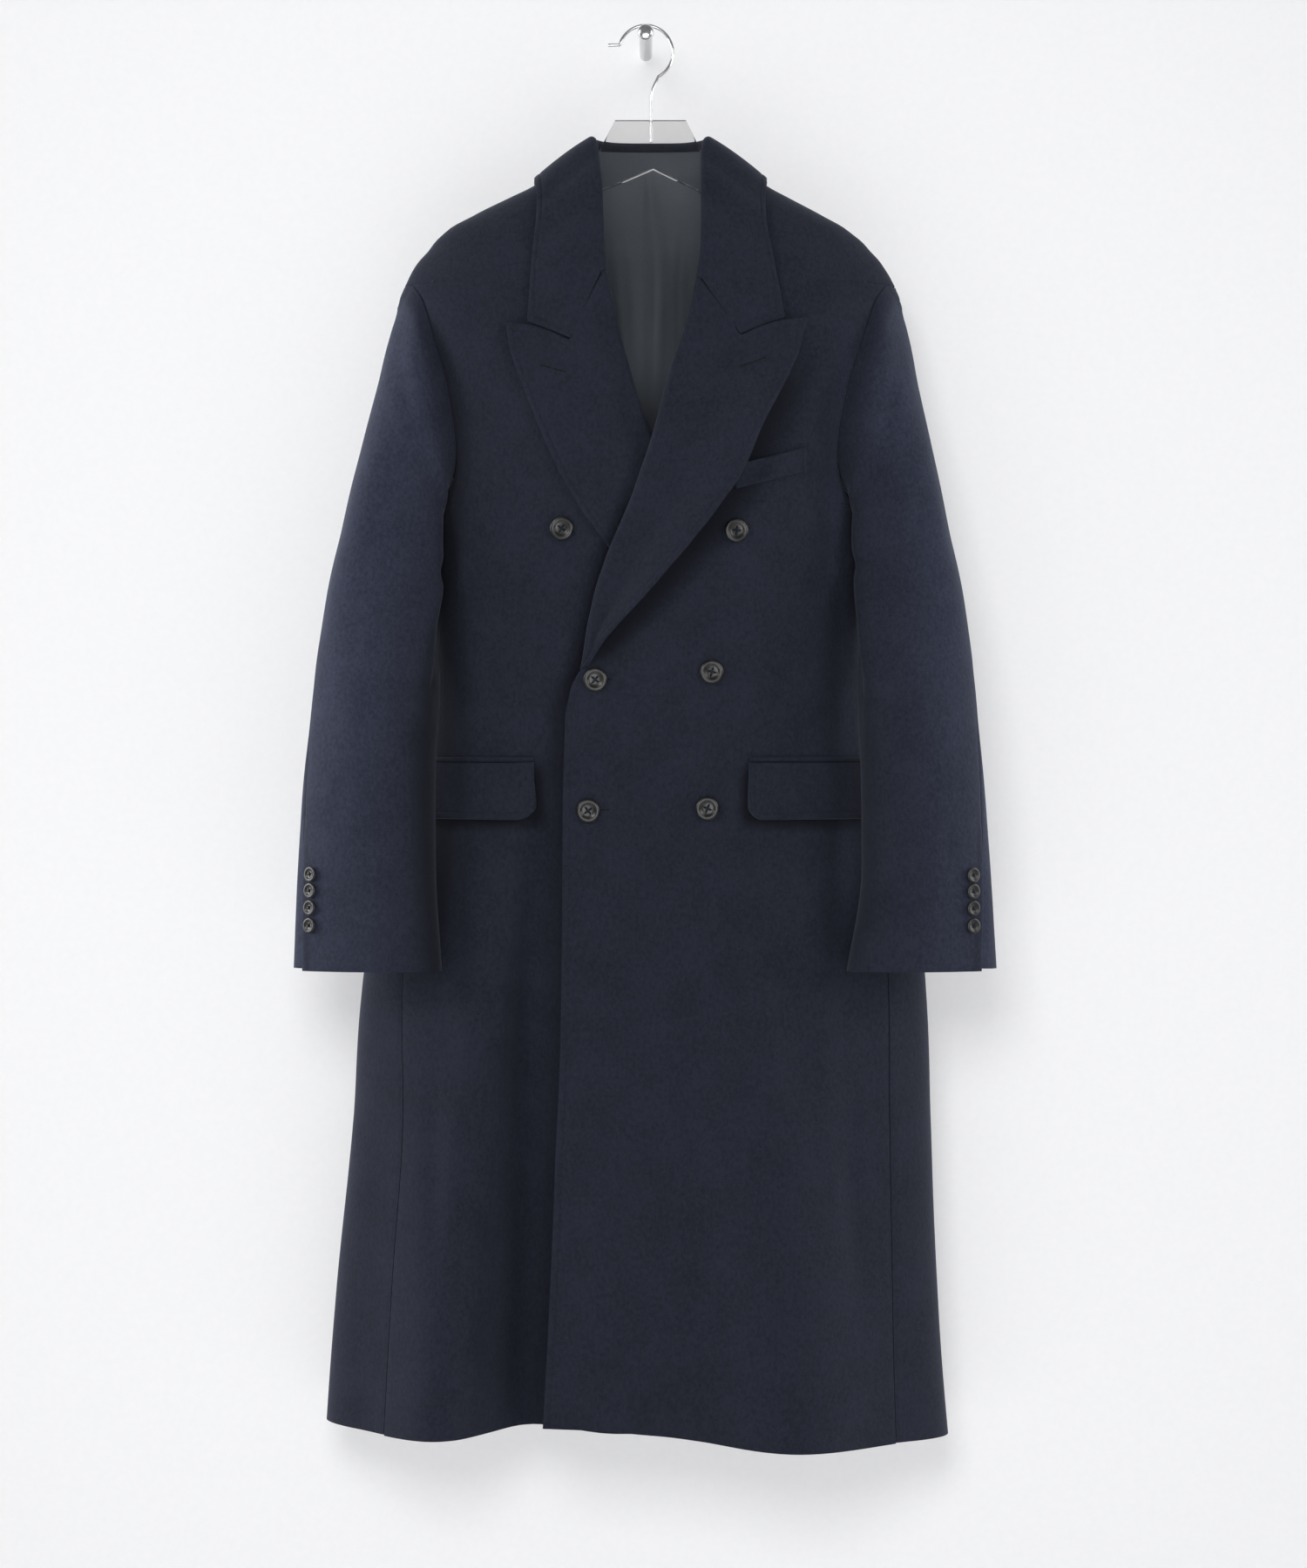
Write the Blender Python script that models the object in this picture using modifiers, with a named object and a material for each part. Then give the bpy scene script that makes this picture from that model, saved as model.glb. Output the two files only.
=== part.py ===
"""A double-breasted chesterfield overcoat on a clear hanger that hangs from a wall peg.

Metres, +Z up. The front faces -Y and the wearer's left is +X. The origin is the underside
of the hanger hook's crown, where the hook rests on the peg.
"""

import math
from bisect import bisect_right
from collections import namedtuple

import bmesh
import bpy
from mathutils import Vector

for item in list(bpy.data.objects):
    bpy.data.objects.remove(item, do_unlink=True)

# Walls and seams
CLOTH = 0.0024
LEAF = 0.0030
LINING = 0.0012
SEAM_GAP = 0.0002
RIDGE_GAP = 0.0015
SIGN = {"right": -1, "left": 1}

# Body: level rings from hem to neck, half widths to each side, and depths along Y
Section = namedtuple("Section", "z right left side front back")
BODY = [
    Section(-1.320, 0.297, 0.279, 0.022, -0.060, 0.066),
    Section(-1.160, 0.285, 0.267, 0.024, -0.060, 0.063),
    Section(-1.000, 0.269, 0.262, 0.025, -0.059, 0.061),
    Section(-0.880, 0.262, 0.259, 0.026, -0.058, 0.060),
    Section(-0.800, 0.240, 0.240, 0.029, -0.058, 0.060),
    Section(-0.700, 0.213, 0.215, 0.032, -0.060, 0.062),
    Section(-0.580, 0.202, 0.204, 0.032, -0.064, 0.065),
    Section(-0.490, 0.200, 0.203, 0.026, -0.067, 0.067),
    Section(-0.440, 0.192, 0.195, 0.004, -0.068, 0.067),
    Section(-0.335, 0.210, 0.214, 0.002, -0.066, 0.066),
    Section(-0.239, 0.2195, 0.2265, 0.000, -0.057, 0.060),
    Section(-0.223, 0.2125, 0.2180, 0.000, -0.055, 0.058),
    Section(-0.207, 0.2000, 0.2060, 0.000, -0.052, 0.057),
    Section(-0.191, 0.1860, 0.1900, 0.000, -0.049, 0.055),
    Section(-0.175, 0.1600, 0.1640, 0.000, -0.046, 0.053),
    Section(-0.159, 0.1280, 0.1340, 0.000, -0.042, 0.050),
    Section(-0.143, 0.0970, 0.1060, 0.000, -0.037, 0.047),
    Section(-0.125, 0.0740, 0.0830, 0.000, -0.029, 0.042),
]
FRONT_ROUNDNESS = 2.2
BACK_ROUNDNESS = 2.5

# Folds that deepen from their top to the hem. Depth is along +Y, so a valley of the front is positive
Fold = namedtuple("Fold", "face x_top z_top x_hem half_width depth")
FOLDS = [
    Fold("front", -0.170, -0.78, -0.196, 0.070, -0.024),
    Fold("front", 0.100, -0.74, 0.148, 0.095, -0.027),
    Fold("under", -0.088, -0.60, -0.100, 0.075, 0.040),
    Fold("back", -0.120, -0.70, -0.165, 0.080, 0.014),
    Fold("back", 0.020, -0.80, 0.060, 0.070, -0.010),
    Fold("back", 0.130, -0.70, 0.180, 0.075, 0.016),
]

# Height of the hem across each panel
Hem = namedtuple("Hem", "x under over back")
HEM = [
    Hem(-0.30, -1.287, -1.274, -1.287),
    Hem(-0.20, -1.287, -1.274, -1.288),
    Hem(-0.09, -1.281, -1.276, -1.289),
    Hem(0.01, -1.281, -1.282, -1.290),
    Hem(0.15, -1.281, -1.296, -1.292),
    Hem(0.28, -1.281, -1.294, -1.294),
]
HEM_LEVEL = -1.29
HEM_BLEND_TOP = -1.00

# Heights of the panels' rows, and how many rows fill each stretch below
Stretch = namedtuple("Stretch", "top bottom rows")
SHOULDER_TIP = -0.239
UNDERARM = -0.440
LAPEL_BREAK = -0.592
ARMHOLE_ROWS = 9
STRETCHES = [
    Stretch(-0.125, SHOULDER_TIP, 7),
    Stretch(SHOULDER_TIP, UNDERARM, ARMHOLE_ROWS),
    Stretch(UNDERARM, LAPEL_BREAK, 5),
    Stretch(LAPEL_BREAK, -0.650, 3),
    Stretch(-0.650, HEM_LEVEL, 11),
]

# Long panels lie in bands, end to end, each from one row to another
PANEL_BANDS = {"chest": (0, 16), "waist": (16, 24), "hip": (24, 30), "skirt": (30, 35)}
SLEEVE_ROWS = 16
SLEEVE_BANDS = {"upper": (0, 8), "elbow": (8, 11), "cuff": (11, 16)}
PANEL_BAND_GAP = 0.0004
SLEEVE_BAND_GAP = 0.0010

# Armhole: how far each panel is cut in, as a share of the half width
ARMHOLE_CUT = {"front": 0.138, "back": 0.112}
ARMHOLE_ROUNDNESS = {"upper": 2.8, "lower": 2.0}

# Side seam: its place as a share of the half width, on the front face
SideSeam = namedtuple("SideSeam", "z right left")
SIDE_SEAM = [
    SideSeam(-1.300, 0.805, 0.815),
    SideSeam(-1.120, 0.810, 0.838),
    SideSeam(-0.885, 0.845, 0.855),
    SideSeam(-0.700, 0.930, 0.930),
    SideSeam(-0.560, 0.985, 0.985),
    SideSeam(UNDERARM, 1.000, 1.000),
]

# Inner edge of each front panel: neckline, roll line and front edge
FrontEdge = namedtuple("FrontEdge", "z right left")
FRONT_EDGE = [
    FrontEdge(-1.300, 0.0920, -0.0930),
    FrontEdge(-1.175, 0.0890, -0.0865),
    FrontEdge(-1.039, 0.0870, -0.0810),
    FrontEdge(-0.883, 0.0840, -0.0755),
    FrontEdge(-0.730, 0.0820, -0.0740),
    FrontEdge(-0.650, 0.0790, -0.0718),
    FrontEdge(-0.613, 0.0740, -0.0680),
    FrontEdge(-0.599, 0.0690, -0.0640),
    FrontEdge(-0.590, 0.0620, -0.0520),
    FrontEdge(-0.571, 0.0600, -0.0475),
    FrontEdge(-0.532, 0.0515, -0.0395),
    FrontEdge(-0.490, 0.0365, -0.0280),
    FrontEdge(-0.455, 0.0250, -0.0115),
    FrontEdge(-0.417, 0.0120, 0.0015),
    FrontEdge(-0.382, -0.0010, 0.0135),
    FrontEdge(-0.356, -0.0097, 0.0195),
    FrontEdge(-0.322, -0.0205, 0.0297),
    FrontEdge(-0.282, -0.0310, 0.0427),
    FrontEdge(-0.250, -0.0390, 0.0517),
    FrontEdge(-0.236, -0.0455, 0.0570),
    FrontEdge(-0.210, -0.0520, 0.0630),
    FrontEdge(-0.180, -0.0600, 0.0700),
    FrontEdge(-0.150, -0.0680, 0.0770),
    FrontEdge(-0.125, -0.0735, 0.0825),
]

# How far the over-front stands off the under-front, and where it comes down to the body
OverLift = namedtuple("OverLift", "z lift")
OVER_LIFT = [
    OverLift(-1.300, 0.0054),
    OverLift(-0.680, 0.0054),
    OverLift(-0.590, 0.0115),
    OverLift(-0.395, 0.0115),
    OverLift(-0.300, 0.0),
]
OVER_LIFT_FULL_X = 0.075
OVER_LIFT_END_X = 0.190

# Lapels, from the break up to the gorge: roll line, middle and outer edge
Lapel = namedtuple("Lapel", "roll_x roll_z mid_x mid_z edge_x edge_z")
LAPELS = {
    "right": [
        Lapel(0.0655, -0.570, 0.057, -0.566, 0.047, -0.563),
        Lapel(0.062, -0.553, 0.046, -0.548, 0.029, -0.545),
        Lapel(0.054, -0.525, 0.027, -0.521, 0.000, -0.519),
        Lapel(0.042, -0.490, 0.008, -0.490, -0.026, -0.490),
        Lapel(0.031, -0.455, -0.009, -0.460, -0.048, -0.461),
        Lapel(0.0175, -0.417, -0.024, -0.428, -0.067, -0.432),
        Lapel(0.0035, -0.379, -0.039, -0.394, -0.084, -0.399),
        Lapel(-0.0065, -0.350, -0.052, -0.366, -0.098, -0.366),
        Lapel(-0.015, -0.322, -0.062, -0.342, -0.109, -0.338),
        Lapel(-0.023, -0.293, -0.067, -0.321, -0.117, -0.316),
        Lapel(-0.029, -0.266, -0.068, -0.308, -0.122, -0.298),
        Lapel(-0.036, -0.236, -0.068, -0.2965, -0.125, -0.2795),
    ],
    "left": [
        Lapel(-0.0530, -0.575, -0.045, -0.570, -0.034, -0.565),
        Lapel(-0.0508, -0.560, -0.039, -0.556, -0.025, -0.552),
        Lapel(-0.046, -0.536, -0.025, -0.532, -0.004, -0.530),
        Lapel(-0.036, -0.500, -0.006, -0.498, 0.023, -0.498),
        Lapel(-0.0245, -0.470, 0.009, -0.469, 0.045, -0.470),
        Lapel(-0.0135, -0.444, 0.025, -0.443, 0.066, -0.442),
        Lapel(-0.0030, -0.414, 0.039, -0.413, 0.085, -0.410),
        Lapel(0.0070, -0.384, 0.051, -0.384, 0.098, -0.378),
        Lapel(0.0165, -0.348, 0.064, -0.356, 0.113, -0.349),
        Lapel(0.026, -0.315, 0.076, -0.332, 0.127, -0.322),
        Lapel(0.037, -0.282, 0.083, -0.308, 0.137, -0.299),
        Lapel(0.046, -0.242, 0.0855, -0.2920, 0.143, -0.2770),
    ],
}
ROLL_RADIUS = 0.0032
LAPEL_LIFT = 0.0030
LAPEL_EDGE_LIFT = {"right": 0.0042, "left": 0.0085}

# Collar, from the right gorge round the neck to the left: neck seam, fold and leaf edge
Collar = namedtuple("Collar", "face base_x base_z fold_x fold_y fold_z edge_x edge_z")
COLLAR = [
    Collar("front", -0.0425, -0.2325, -0.0365, -0.0590, -0.2312, -0.1060, -0.2775),
    Collar("front", -0.0500, -0.2080, -0.0385, -0.0555, -0.2030, -0.1040, -0.2500),
    Collar("front", -0.0585, -0.1790, -0.0400, -0.0450, -0.1650, -0.1010, -0.2100),
    Collar("front", -0.0680, -0.1450, -0.0430, -0.0270, -0.1280, -0.0975, -0.1720),
    Collar("ridge", -0.0735, -0.1235, -0.0470, -0.0020, -0.1040, -0.0965, -0.1440),
    Collar("back", -0.0530, -0.1230, -0.0360, 0.0320, -0.1015, -0.0800, -0.1600),
    Collar("back", 0.0040, -0.1230, 0.0040, 0.0450, -0.1005, 0.0040, -0.1680),
    Collar("back", 0.0610, -0.1230, 0.0440, 0.0320, -0.1015, 0.0880, -0.1600),
    Collar("ridge", 0.0825, -0.1235, 0.0550, -0.0020, -0.1040, 0.1055, -0.1440),
    Collar("front", 0.0770, -0.1450, 0.0515, -0.0270, -0.1280, 0.1075, -0.1720),
    Collar("front", 0.0685, -0.1790, 0.0515, -0.0450, -0.1650, 0.1130, -0.2100),
    Collar("front", 0.0605, -0.2080, 0.0510, -0.0560, -0.2040, 0.1200, -0.2480),
    Collar("front", 0.0530, -0.2390, 0.0470, -0.0595, -0.2380, 0.1250, -0.2735),
]
NOTCH_CORNERS = {"right": (-0.0670, -0.2940), "left": (0.0848, -0.2900)}
COLLAR_LIFT = 0.0045
COLLAR_BULGE = 0.0040

# Sleeves below the armhole: outer and inner edge of each loop, its depths, its bow to the body,
# and how far its front laps over the body's front
SleeveLoop = namedtuple(
    "SleeveLoop",
    "share right_out left_out out_y out_z right_in left_in in_y in_z front back bow lap",
)
SLEEVE = [
    SleeveLoop(0.07, 0.2295, 0.2360, 0.004, -0.274, 0.204, 0.207, 0.006, -0.464, 0.052, 0.046, 0.010, 0.014),
    SleeveLoop(0.16, 0.2430, 0.2475, 0.002, -0.326, 0.210, 0.213, 0.003, -0.490, 0.057, 0.043, 0.003, 0.034),
    SleeveLoop(0.27, 0.2590, 0.2600, -0.002, -0.388, 0.206, 0.209, -0.008, -0.522, 0.056, 0.039, 0.0, 0.034),
    SleeveLoop(0.40, 0.2770, 0.2760, -0.012, -0.462, 0.194, 0.198, -0.030, -0.565, 0.051, 0.037, 0.0, 0.020),
    SleeveLoop(0.54, 0.2940, 0.2920, -0.024, -0.548, 0.187, 0.193, -0.053, -0.620, 0.046, 0.038, 0.0, 0.006),
    SleeveLoop(0.68, 0.3050, 0.3020, -0.035, -0.640, 0.190, 0.195, -0.068, -0.688, 0.041, 0.038, 0.0, 0.0),
    SleeveLoop(0.84, 0.3130, 0.3100, -0.043, -0.740, 0.189, 0.195, -0.074, -0.760, 0.038, 0.037, 0.0, 0.0),
    SleeveLoop(1.00, 0.3190, 0.3180, -0.048, -0.863, 0.183, 0.181, -0.076, -0.863, 0.035, 0.035, 0.0, 0.0),
]
SleeveSeam = namedtuple("SleeveSeam", "share right left inner")
SLEEVE_SEAMS = [
    SleeveSeam(0.00, -50.0, -50.0, 195.0),
    SleeveSeam(0.70, 0.0, 2.0, 198.0),
    SleeveSeam(1.00, 39.0, 48.0, 198.0),
]
UNDERARM_COLUMNS = [210.0, 230.0, 250.0]
SLEEVE_GAP = {"ends": 0.0032, "faces": 0.0010}

# Pockets
Flap = namedtuple("Flap", "side front_x hidden_x top_z drop corner")
FLAPS = [
    Flap("right", -0.1010, -0.2000, -0.6760, 0.0510, 0.012),
    Flap("left", 0.0920, 0.2020, -0.6760, 0.0510, 0.012),
]
FLAP_THICK = 0.0030
JET_HEIGHT = 0.0050
TRIM_LIFT = 0.0016
WELT = {"inner_x": 0.0800, "outer_x": 0.1430, "inner_z": -0.4085, "outer_z": -0.3915}
WELT_HEIGHT = 0.0215
WELT_THICK = 0.0026

# Buttons
Button = namedtuple("Button", "side x z")
FRONT_BUTTONS = [
    Button("right", -0.0750, -0.4650),
    Button("left", 0.0797, -0.4670),
    Button("left", -0.0440, -0.6010),
    Button("left", 0.0580, -0.5940),
    Button("left", -0.0510, -0.7190),
    Button("left", 0.0550, -0.7170),
]
FRONT_BUTTON_RADIUS = 0.01075
CUFF_BUTTON_RADIUS = 0.0070
CUFF_BUTTON_SHARES = (0.8880, 0.9080, 0.9280, 0.9480)
CUFF_BUTTON_ANGLES = {"right": 48.5, "left": 56.5}
BUTTON_LIFT = 0.0022

# Hanger and peg
WIRE_RADIUS = 0.0015
HOOK_RADIUS = 0.0249
HOOK_ARC_START = 164.0
HOOK_ARC_END = -62.0
HOOK_TIP = [(-0.0345, -0.0168), (-0.0290, -0.0166)]
HOOK_STEM = [(0.0082, -0.0530), (0.0058, -0.0600), (0.0050, -0.0680), (0.0050, -0.0860), (0.0050, -0.1060)]
PLATE_THICK = 0.008
PLATE_TOP = [(-0.028, -0.086), (0.037, -0.086)]
PLATE_ARCH = 0.007
PLATE_ARCH_Z = -0.131
ARM_TOP = [(0.049, -0.119), (0.070, -0.139), (0.100, -0.155), (0.130, -0.170), (0.158, -0.187), (0.174, -0.203)]
ARM_END = [(0.177, -0.212), (0.174, -0.221), (0.166, -0.224)]
ARM_BOTTOM = [(0.130, -0.205), (0.100, -0.190), (0.070, -0.171), (0.044, -0.151)]
HANGER_MIDDLE = 0.004
SOCKET_GAP = 0.0004
PEG_NECK = 0.0060
PEG_HEAD = 0.0074
PEG_DROP = 0.0003
WALL_Y = 0.092
PEG_HEAD_START = -0.004
PEG_HEAD_END = -0.011

collection = bpy.data.collections.new("chesterfield_coat")
bpy.context.scene.collection.children.link(collection)


class Curve:
    """A smooth curve through a few points that never overshoots them. Its keys rise."""

    def __init__(self, keys, values):
        self.keys = list(keys)
        self.values = list(values)
        steps = [b - a for a, b in zip(self.keys, self.keys[1:])]
        rises = [(b - a) / step for a, b, step in zip(self.values, self.values[1:], steps)]
        self.slopes = [rises[0]]
        for before, after in zip(rises, rises[1:]):
            level = before * after <= 0
            self.slopes.append(0.0 if level else 2 * before * after / (before + after))
        self.slopes.append(rises[-1])

    def __call__(self, key):
        key = min(max(key, self.keys[0]), self.keys[-1])
        i = min(bisect_right(self.keys, key), len(self.keys) - 1) - 1
        step = self.keys[i + 1] - self.keys[i]
        u = (key - self.keys[i]) / step
        start = self.values[i] + u * step * self.slopes[i]
        end = self.values[i + 1] - (1 - u) * step * self.slopes[i + 1]
        blend = u * u * (3 - 2 * u)
        return start + (end - start) * blend


def columns_of(rows, key):
    """A curve for every column of a table, read by the column named key."""
    keys = [getattr(row, key) for row in rows]
    names = [name for name in rows[0]._fields if isinstance(getattr(rows[0], name), float) and name != key]
    return {name: Curve(keys, [getattr(row, name) for row in rows]) for name in names}


def mix(a, b, share):
    return a + (b - a) * share


def ease(start, end, value):
    """0 before start, 1 after end, and a smooth rise between."""
    u = min(max((value - start) / (end - start), 0.0), 1.0)
    return u * u * (3 - 2 * u)


body = columns_of(BODY, "z")
hem = columns_of(HEM, "x")
side_seam = columns_of(SIDE_SEAM, "z")
front_edge = columns_of(FRONT_EDGE, "z")
over_lift = columns_of(OVER_LIFT, "z")
sleeve_seam = columns_of(SLEEVE_SEAMS, "share")


def half_width(x, z):
    return body["right" if x < 0 else "left"](z)


def roundness(front):
    return FRONT_ROUNDNESS if front else BACK_ROUNDNESS


def turn_at(x, z, front=True):
    """Angle round the ring at z of the point at x: 0 is centre front, 90 the left side, 180 centre back."""
    share = min(abs(x) / half_width(x, z), 1.0)
    angle = math.degrees(math.asin(share ** (roundness(front) / 2)))
    angle = angle if front else 180 - angle
    return math.copysign(angle, x)


def fold_depth(face, x, z):
    depth = 0.0
    for fold in FOLDS:
        if fold.face != face:
            continue
        fall = ease(fold.z_top, HEM_LEVEL, z)
        middle = mix(fold.x_top, fold.x_hem, (z - fold.z_top) / (HEM_LEVEL - fold.z_top))
        across = min(abs(x - middle) / fold.half_width, 1.0)
        depth += fold.depth * fall * math.cos(across * math.pi / 2) ** 2
    return depth


def bare_point(turn, z, under=False):
    """Point of the body's outer face, with its folds."""
    swing = math.sin(math.radians(turn))
    reach = math.cos(math.radians(turn))
    front = reach >= 0
    power = 2 / roundness(front)
    x = math.copysign(half_width(swing, z) * abs(swing) ** power, swing)
    side = body["side"](z)
    depth = (body["front" if front else "back"](z) - side) * abs(reach) ** power
    settle = ease(0.0, 0.55, abs(reach))
    depth += settle * fold_depth("front" if front else "back", x, z)
    if under:
        depth += settle * fold_depth("under", x, z)
    return Vector((x, side + depth, z))


def body_point(turn, z, lift=0.0, under=False):
    """A point moved out from the body's face by lift."""
    step = 0.4
    rise = 0.001
    around = bare_point(turn + step, z, under) - bare_point(turn - step, z, under)
    up = bare_point(turn, z + rise, under) - bare_point(turn, z - rise, under)
    return bare_point(turn, z, under) + around.cross(up).normalized() * lift


def over_front_lift(x, z):
    return over_lift["lift"](z) * (1 - ease(OVER_LIFT_FULL_X, OVER_LIFT_END_X, x))


def front_point(side, x, z, lift=0.0):
    """A point on one front panel's outer face, moved out by lift."""
    if side == "left":
        return body_point(turn_at(x, z), z, lift + over_front_lift(x, z))
    return body_point(turn_at(x, z), z, lift, under=True)


def row_height(down):
    """Height of a panel's row, from 0 at the neck to 1 at the hem. Rows crowd at both ends of the armhole."""
    row = down * sum(stretch.rows for stretch in STRETCHES)
    for stretch in STRETCHES:
        if row <= stretch.rows + 1e-6:
            share = row / stretch.rows
            if stretch.top == SHOULDER_TIP:
                share = (1 - math.cos(share * math.pi)) / 2
            return mix(stretch.top, stretch.bottom, share)
        row -= stretch.rows
    return HEM_LEVEL


def seam_gap(turn, z):
    """Angle that leaves half a seam's gap along the ring. The gap is wider at the ridge, where walls lean together."""
    step = 0.5
    gap = mix(RIDGE_GAP, SEAM_GAP, ease(0.55, 0.95, abs(math.cos(math.radians(turn)))))
    return step * gap / (bare_point(turn + step, z) - bare_point(turn, z)).length


def to_hem(z, hem_z):
    """A row's height eased so that the last row lies on the hem."""
    share = max(0.0, (HEM_BLEND_TOP - z) / (HEM_BLEND_TOP - HEM_LEVEL))
    return z + share * (hem_z - HEM_LEVEL)


def armhole_share(face, reach):
    """Where a panel's armhole edge lies across the half width, with reach 1 at the shoulder tip and -1 at the underarm."""
    power = ARMHOLE_ROUNDNESS["upper" if reach > 0 else "lower"]
    cut = max(0.0, 1 - abs(reach) ** power) ** (1 / power)
    return 1 - ARMHOLE_CUT[face] * cut


def outer_turn(side, face, z):
    """Angle of a panel's outer edge: shoulder seam, armhole and side seam."""
    sign = SIGN[side]
    width = body[side](z)
    if z >= SHOULDER_TIP:
        share = 1.0
    elif z > UNDERARM:
        middle = (SHOULDER_TIP + UNDERARM) / 2
        reach = (z - middle) / (SHOULDER_TIP - middle)
        share = armhole_share(face, reach)
    else:
        return turn_at(sign * width * side_seam[side](z), z)
    return turn_at(sign * width * share, z, face == "front")


def armhole_point(side, angle):
    """Point of the armhole's edge: 0 is the shoulder tip, 90 the front and 180 the underarm."""
    middle = (SHOULDER_TIP + UNDERARM) / 2
    reach = math.cos(math.radians(angle))
    z = middle + (SHOULDER_TIP - middle) * reach
    face = "front" if math.sin(math.radians(angle)) >= 0 else "back"
    x = SIGN[side] * body[side](z) * armhole_share(face, reach)
    return bare_point(turn_at(x, z, face == "front"), z)


# Materials
Finish = namedtuple("Finish", "colour roughness metallic")
FINISHES = {
    "navy wool": Finish((0.017, 0.020, 0.030), 0.95, 0.0),
    "grey lining": Finish((0.048, 0.055, 0.066), 0.55, 0.0),
    "dark horn": Finish((0.010, 0.011, 0.014), 0.30, 0.0),
    "clear acrylic": Finish((0.80, 0.84, 0.86), 0.06, 0.0),
    "polished wire": Finish((0.75, 0.76, 0.78), 0.16, 1.0),
}


def finish_material(name, finish):
    material = bpy.data.materials.new(name)
    material.use_nodes = True
    shader = material.node_tree.nodes["Principled BSDF"]
    shader.inputs["Base Color"].default_value = (*finish.colour, 1.0)
    shader.inputs["Roughness"].default_value = finish.roughness
    shader.inputs["Metallic"].default_value = finish.metallic
    return material


materials = {name: finish_material(name, finish) for name, finish in FINISHES.items()}


def add_object(name, data, material):
    made = bpy.data.objects.new(name, data)
    data.materials.append(materials[material])
    collection.objects.link(made)
    return made


def cloth_wall(name, across_count, down_count, place, thick, offset=-1.0, material="navy wool", even=True):
    """A grid laid out by place(across, down), then given its thickness."""
    sheet = bmesh.new()
    bmesh.ops.create_grid(sheet, x_segments=across_count, y_segments=down_count, size=0.5)
    for vert in sheet.verts:
        vert.co = place(vert.co.x + 0.5, 0.5 - vert.co.y)
    mesh = bpy.data.meshes.new(name)
    sheet.to_mesh(mesh)
    sheet.free()
    wall = add_object(name, mesh, material)
    solid = wall.modifiers.new("thickness", "SOLIDIFY")
    solid.thickness = thick
    solid.offset = offset
    solid.use_even_offset = even
    solid.use_quality_normals = True
    return wall


def cloth_bands(name, bands, gap, across_count, down_count, place, even=True):
    """A long wall in bands that lie end to end."""
    for band, (first, last) in bands.items():
        top = first / down_count + (gap if first > 0 else 0.0)
        bottom = last / down_count - (gap if last < down_count else 0.0)

        def place_band(across, down, top=top, bottom=bottom):
            return place(across, mix(top, bottom, down))

        cloth_wall(f"{name}_{band}", across_count, last - first, place_band, CLOTH, even=even)


# Front panels
def front_panel(side):
    def place(across, down):
        z = row_height(down)
        inner_x = front_edge[side](z)
        inner = turn_at(inner_x, z)
        outer = outer_turn(side, "front", z)
        outer -= SIGN[side] * seam_gap(outer, z)
        turn = mix(outer, inner, across) if side == "right" else mix(inner, outer, across)
        x = bare_point(turn, z).x
        z = to_hem(z, hem["over" if side == "left" else "under"](x))
        if side == "left":
            return body_point(turn, z, over_front_lift(x, z))
        return body_point(turn, z, 0.0, under=True)

    rows = sum(stretch.rows for stretch in STRETCHES)
    cloth_bands(f"front_{side}", PANEL_BANDS, PANEL_BAND_GAP, 12, rows, place)


front_panel("right")
front_panel("left")

# Back panels, with a centre vent whose left edge runs under the right
VENT_DROP_TOP = -0.72
VENT_TOP = -0.805
VENT_FULL = -0.86
VENT_UNDERLAP = 4.7
VENT_DROP = 0.0046


def back_panel(side):
    sign = SIGN[side]

    def place(across, down):
        z = row_height(down)
        outer = outer_turn(side, "back", z)
        outer += sign * seam_gap(outer, z)
        inner = sign * 180.0
        inner -= sign * seam_gap(inner, z)
        drop = 0.0
        if side == "left":
            inner += ease(-VENT_TOP, -VENT_FULL, -z) * VENT_UNDERLAP
        turn = mix(inner, outer, across) if side == "right" else mix(outer, inner, across)
        x = bare_point(turn, z).x
        if side == "left":
            drop = -VENT_DROP * ease(-VENT_DROP_TOP, -VENT_TOP, -z) * ease(-0.105, -0.050, -x)
        z = to_hem(z, hem["back"](x))
        return body_point(turn, z, drop)

    rows = sum(stretch.rows for stretch in STRETCHES)
    cloth_bands(f"back_{side}", PANEL_BANDS, PANEL_BAND_GAP, 9, rows, place)


back_panel("right")
back_panel("left")

# Back lining, where it shows inside the neck
LINING_TOP = -0.131
LINING_BOTTOM = -0.46
LINING_LIFT = -0.0064
LINING_START_TURN = 128.0


def lining_place(across, down):
    turn = mix(LINING_START_TURN, 360 - LINING_START_TURN, across)
    z = mix(LINING_TOP, LINING_BOTTOM, down)
    return body_point(turn, z, LINING_LIFT)


cloth_wall("lining_back", 10, 6, lining_place, LINING, material="grey lining")

# Sleeves
def sleeve_loop(side, loop, angle):
    sign = SIGN[side]
    out = Vector((sign * getattr(loop, side + "_out"), loop.out_y, loop.out_z))
    inner = Vector((sign * getattr(loop, side + "_in"), loop.in_y, loop.in_z))
    axis = (out - inner) / 2
    level = Vector((axis.x, axis.y, 0.0)).normalized()
    forward = Vector((level.y, -level.x, 0.0)) * sign
    turn = math.radians(angle)
    lap = max(0.0, -math.sin(2 * turn)) ** 2 if math.sin(turn) > 0 else 0.0
    bow = -sign * (loop.bow * abs(math.sin(turn)) + loop.lap * lap)
    depth = loop.front if math.sin(turn) >= 0 else loop.back
    return (out + inner) / 2 + axis * math.cos(turn) + forward * depth * math.sin(turn) + Vector((bow, 0, 0))


def sleeve_point(side, share, angle):
    """Point of a sleeve's outer face: share runs from armhole to cuff, angle from the outer edge to the front."""
    swing = math.cos(math.radians(angle))
    gap = mix(SLEEVE_GAP["faces"], SLEEVE_GAP["ends"], abs(swing))
    start = armhole_point(side, angle) + gap * Vector((SIGN[side], 0, -swing))
    points = [start] + [sleeve_loop(side, loop, angle) for loop in SLEEVE]
    shares = [0.0] + [loop.share for loop in SLEEVE]
    return Vector(Curve(shares, [point[axis] for point in points])(share) for axis in range(3))


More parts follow.
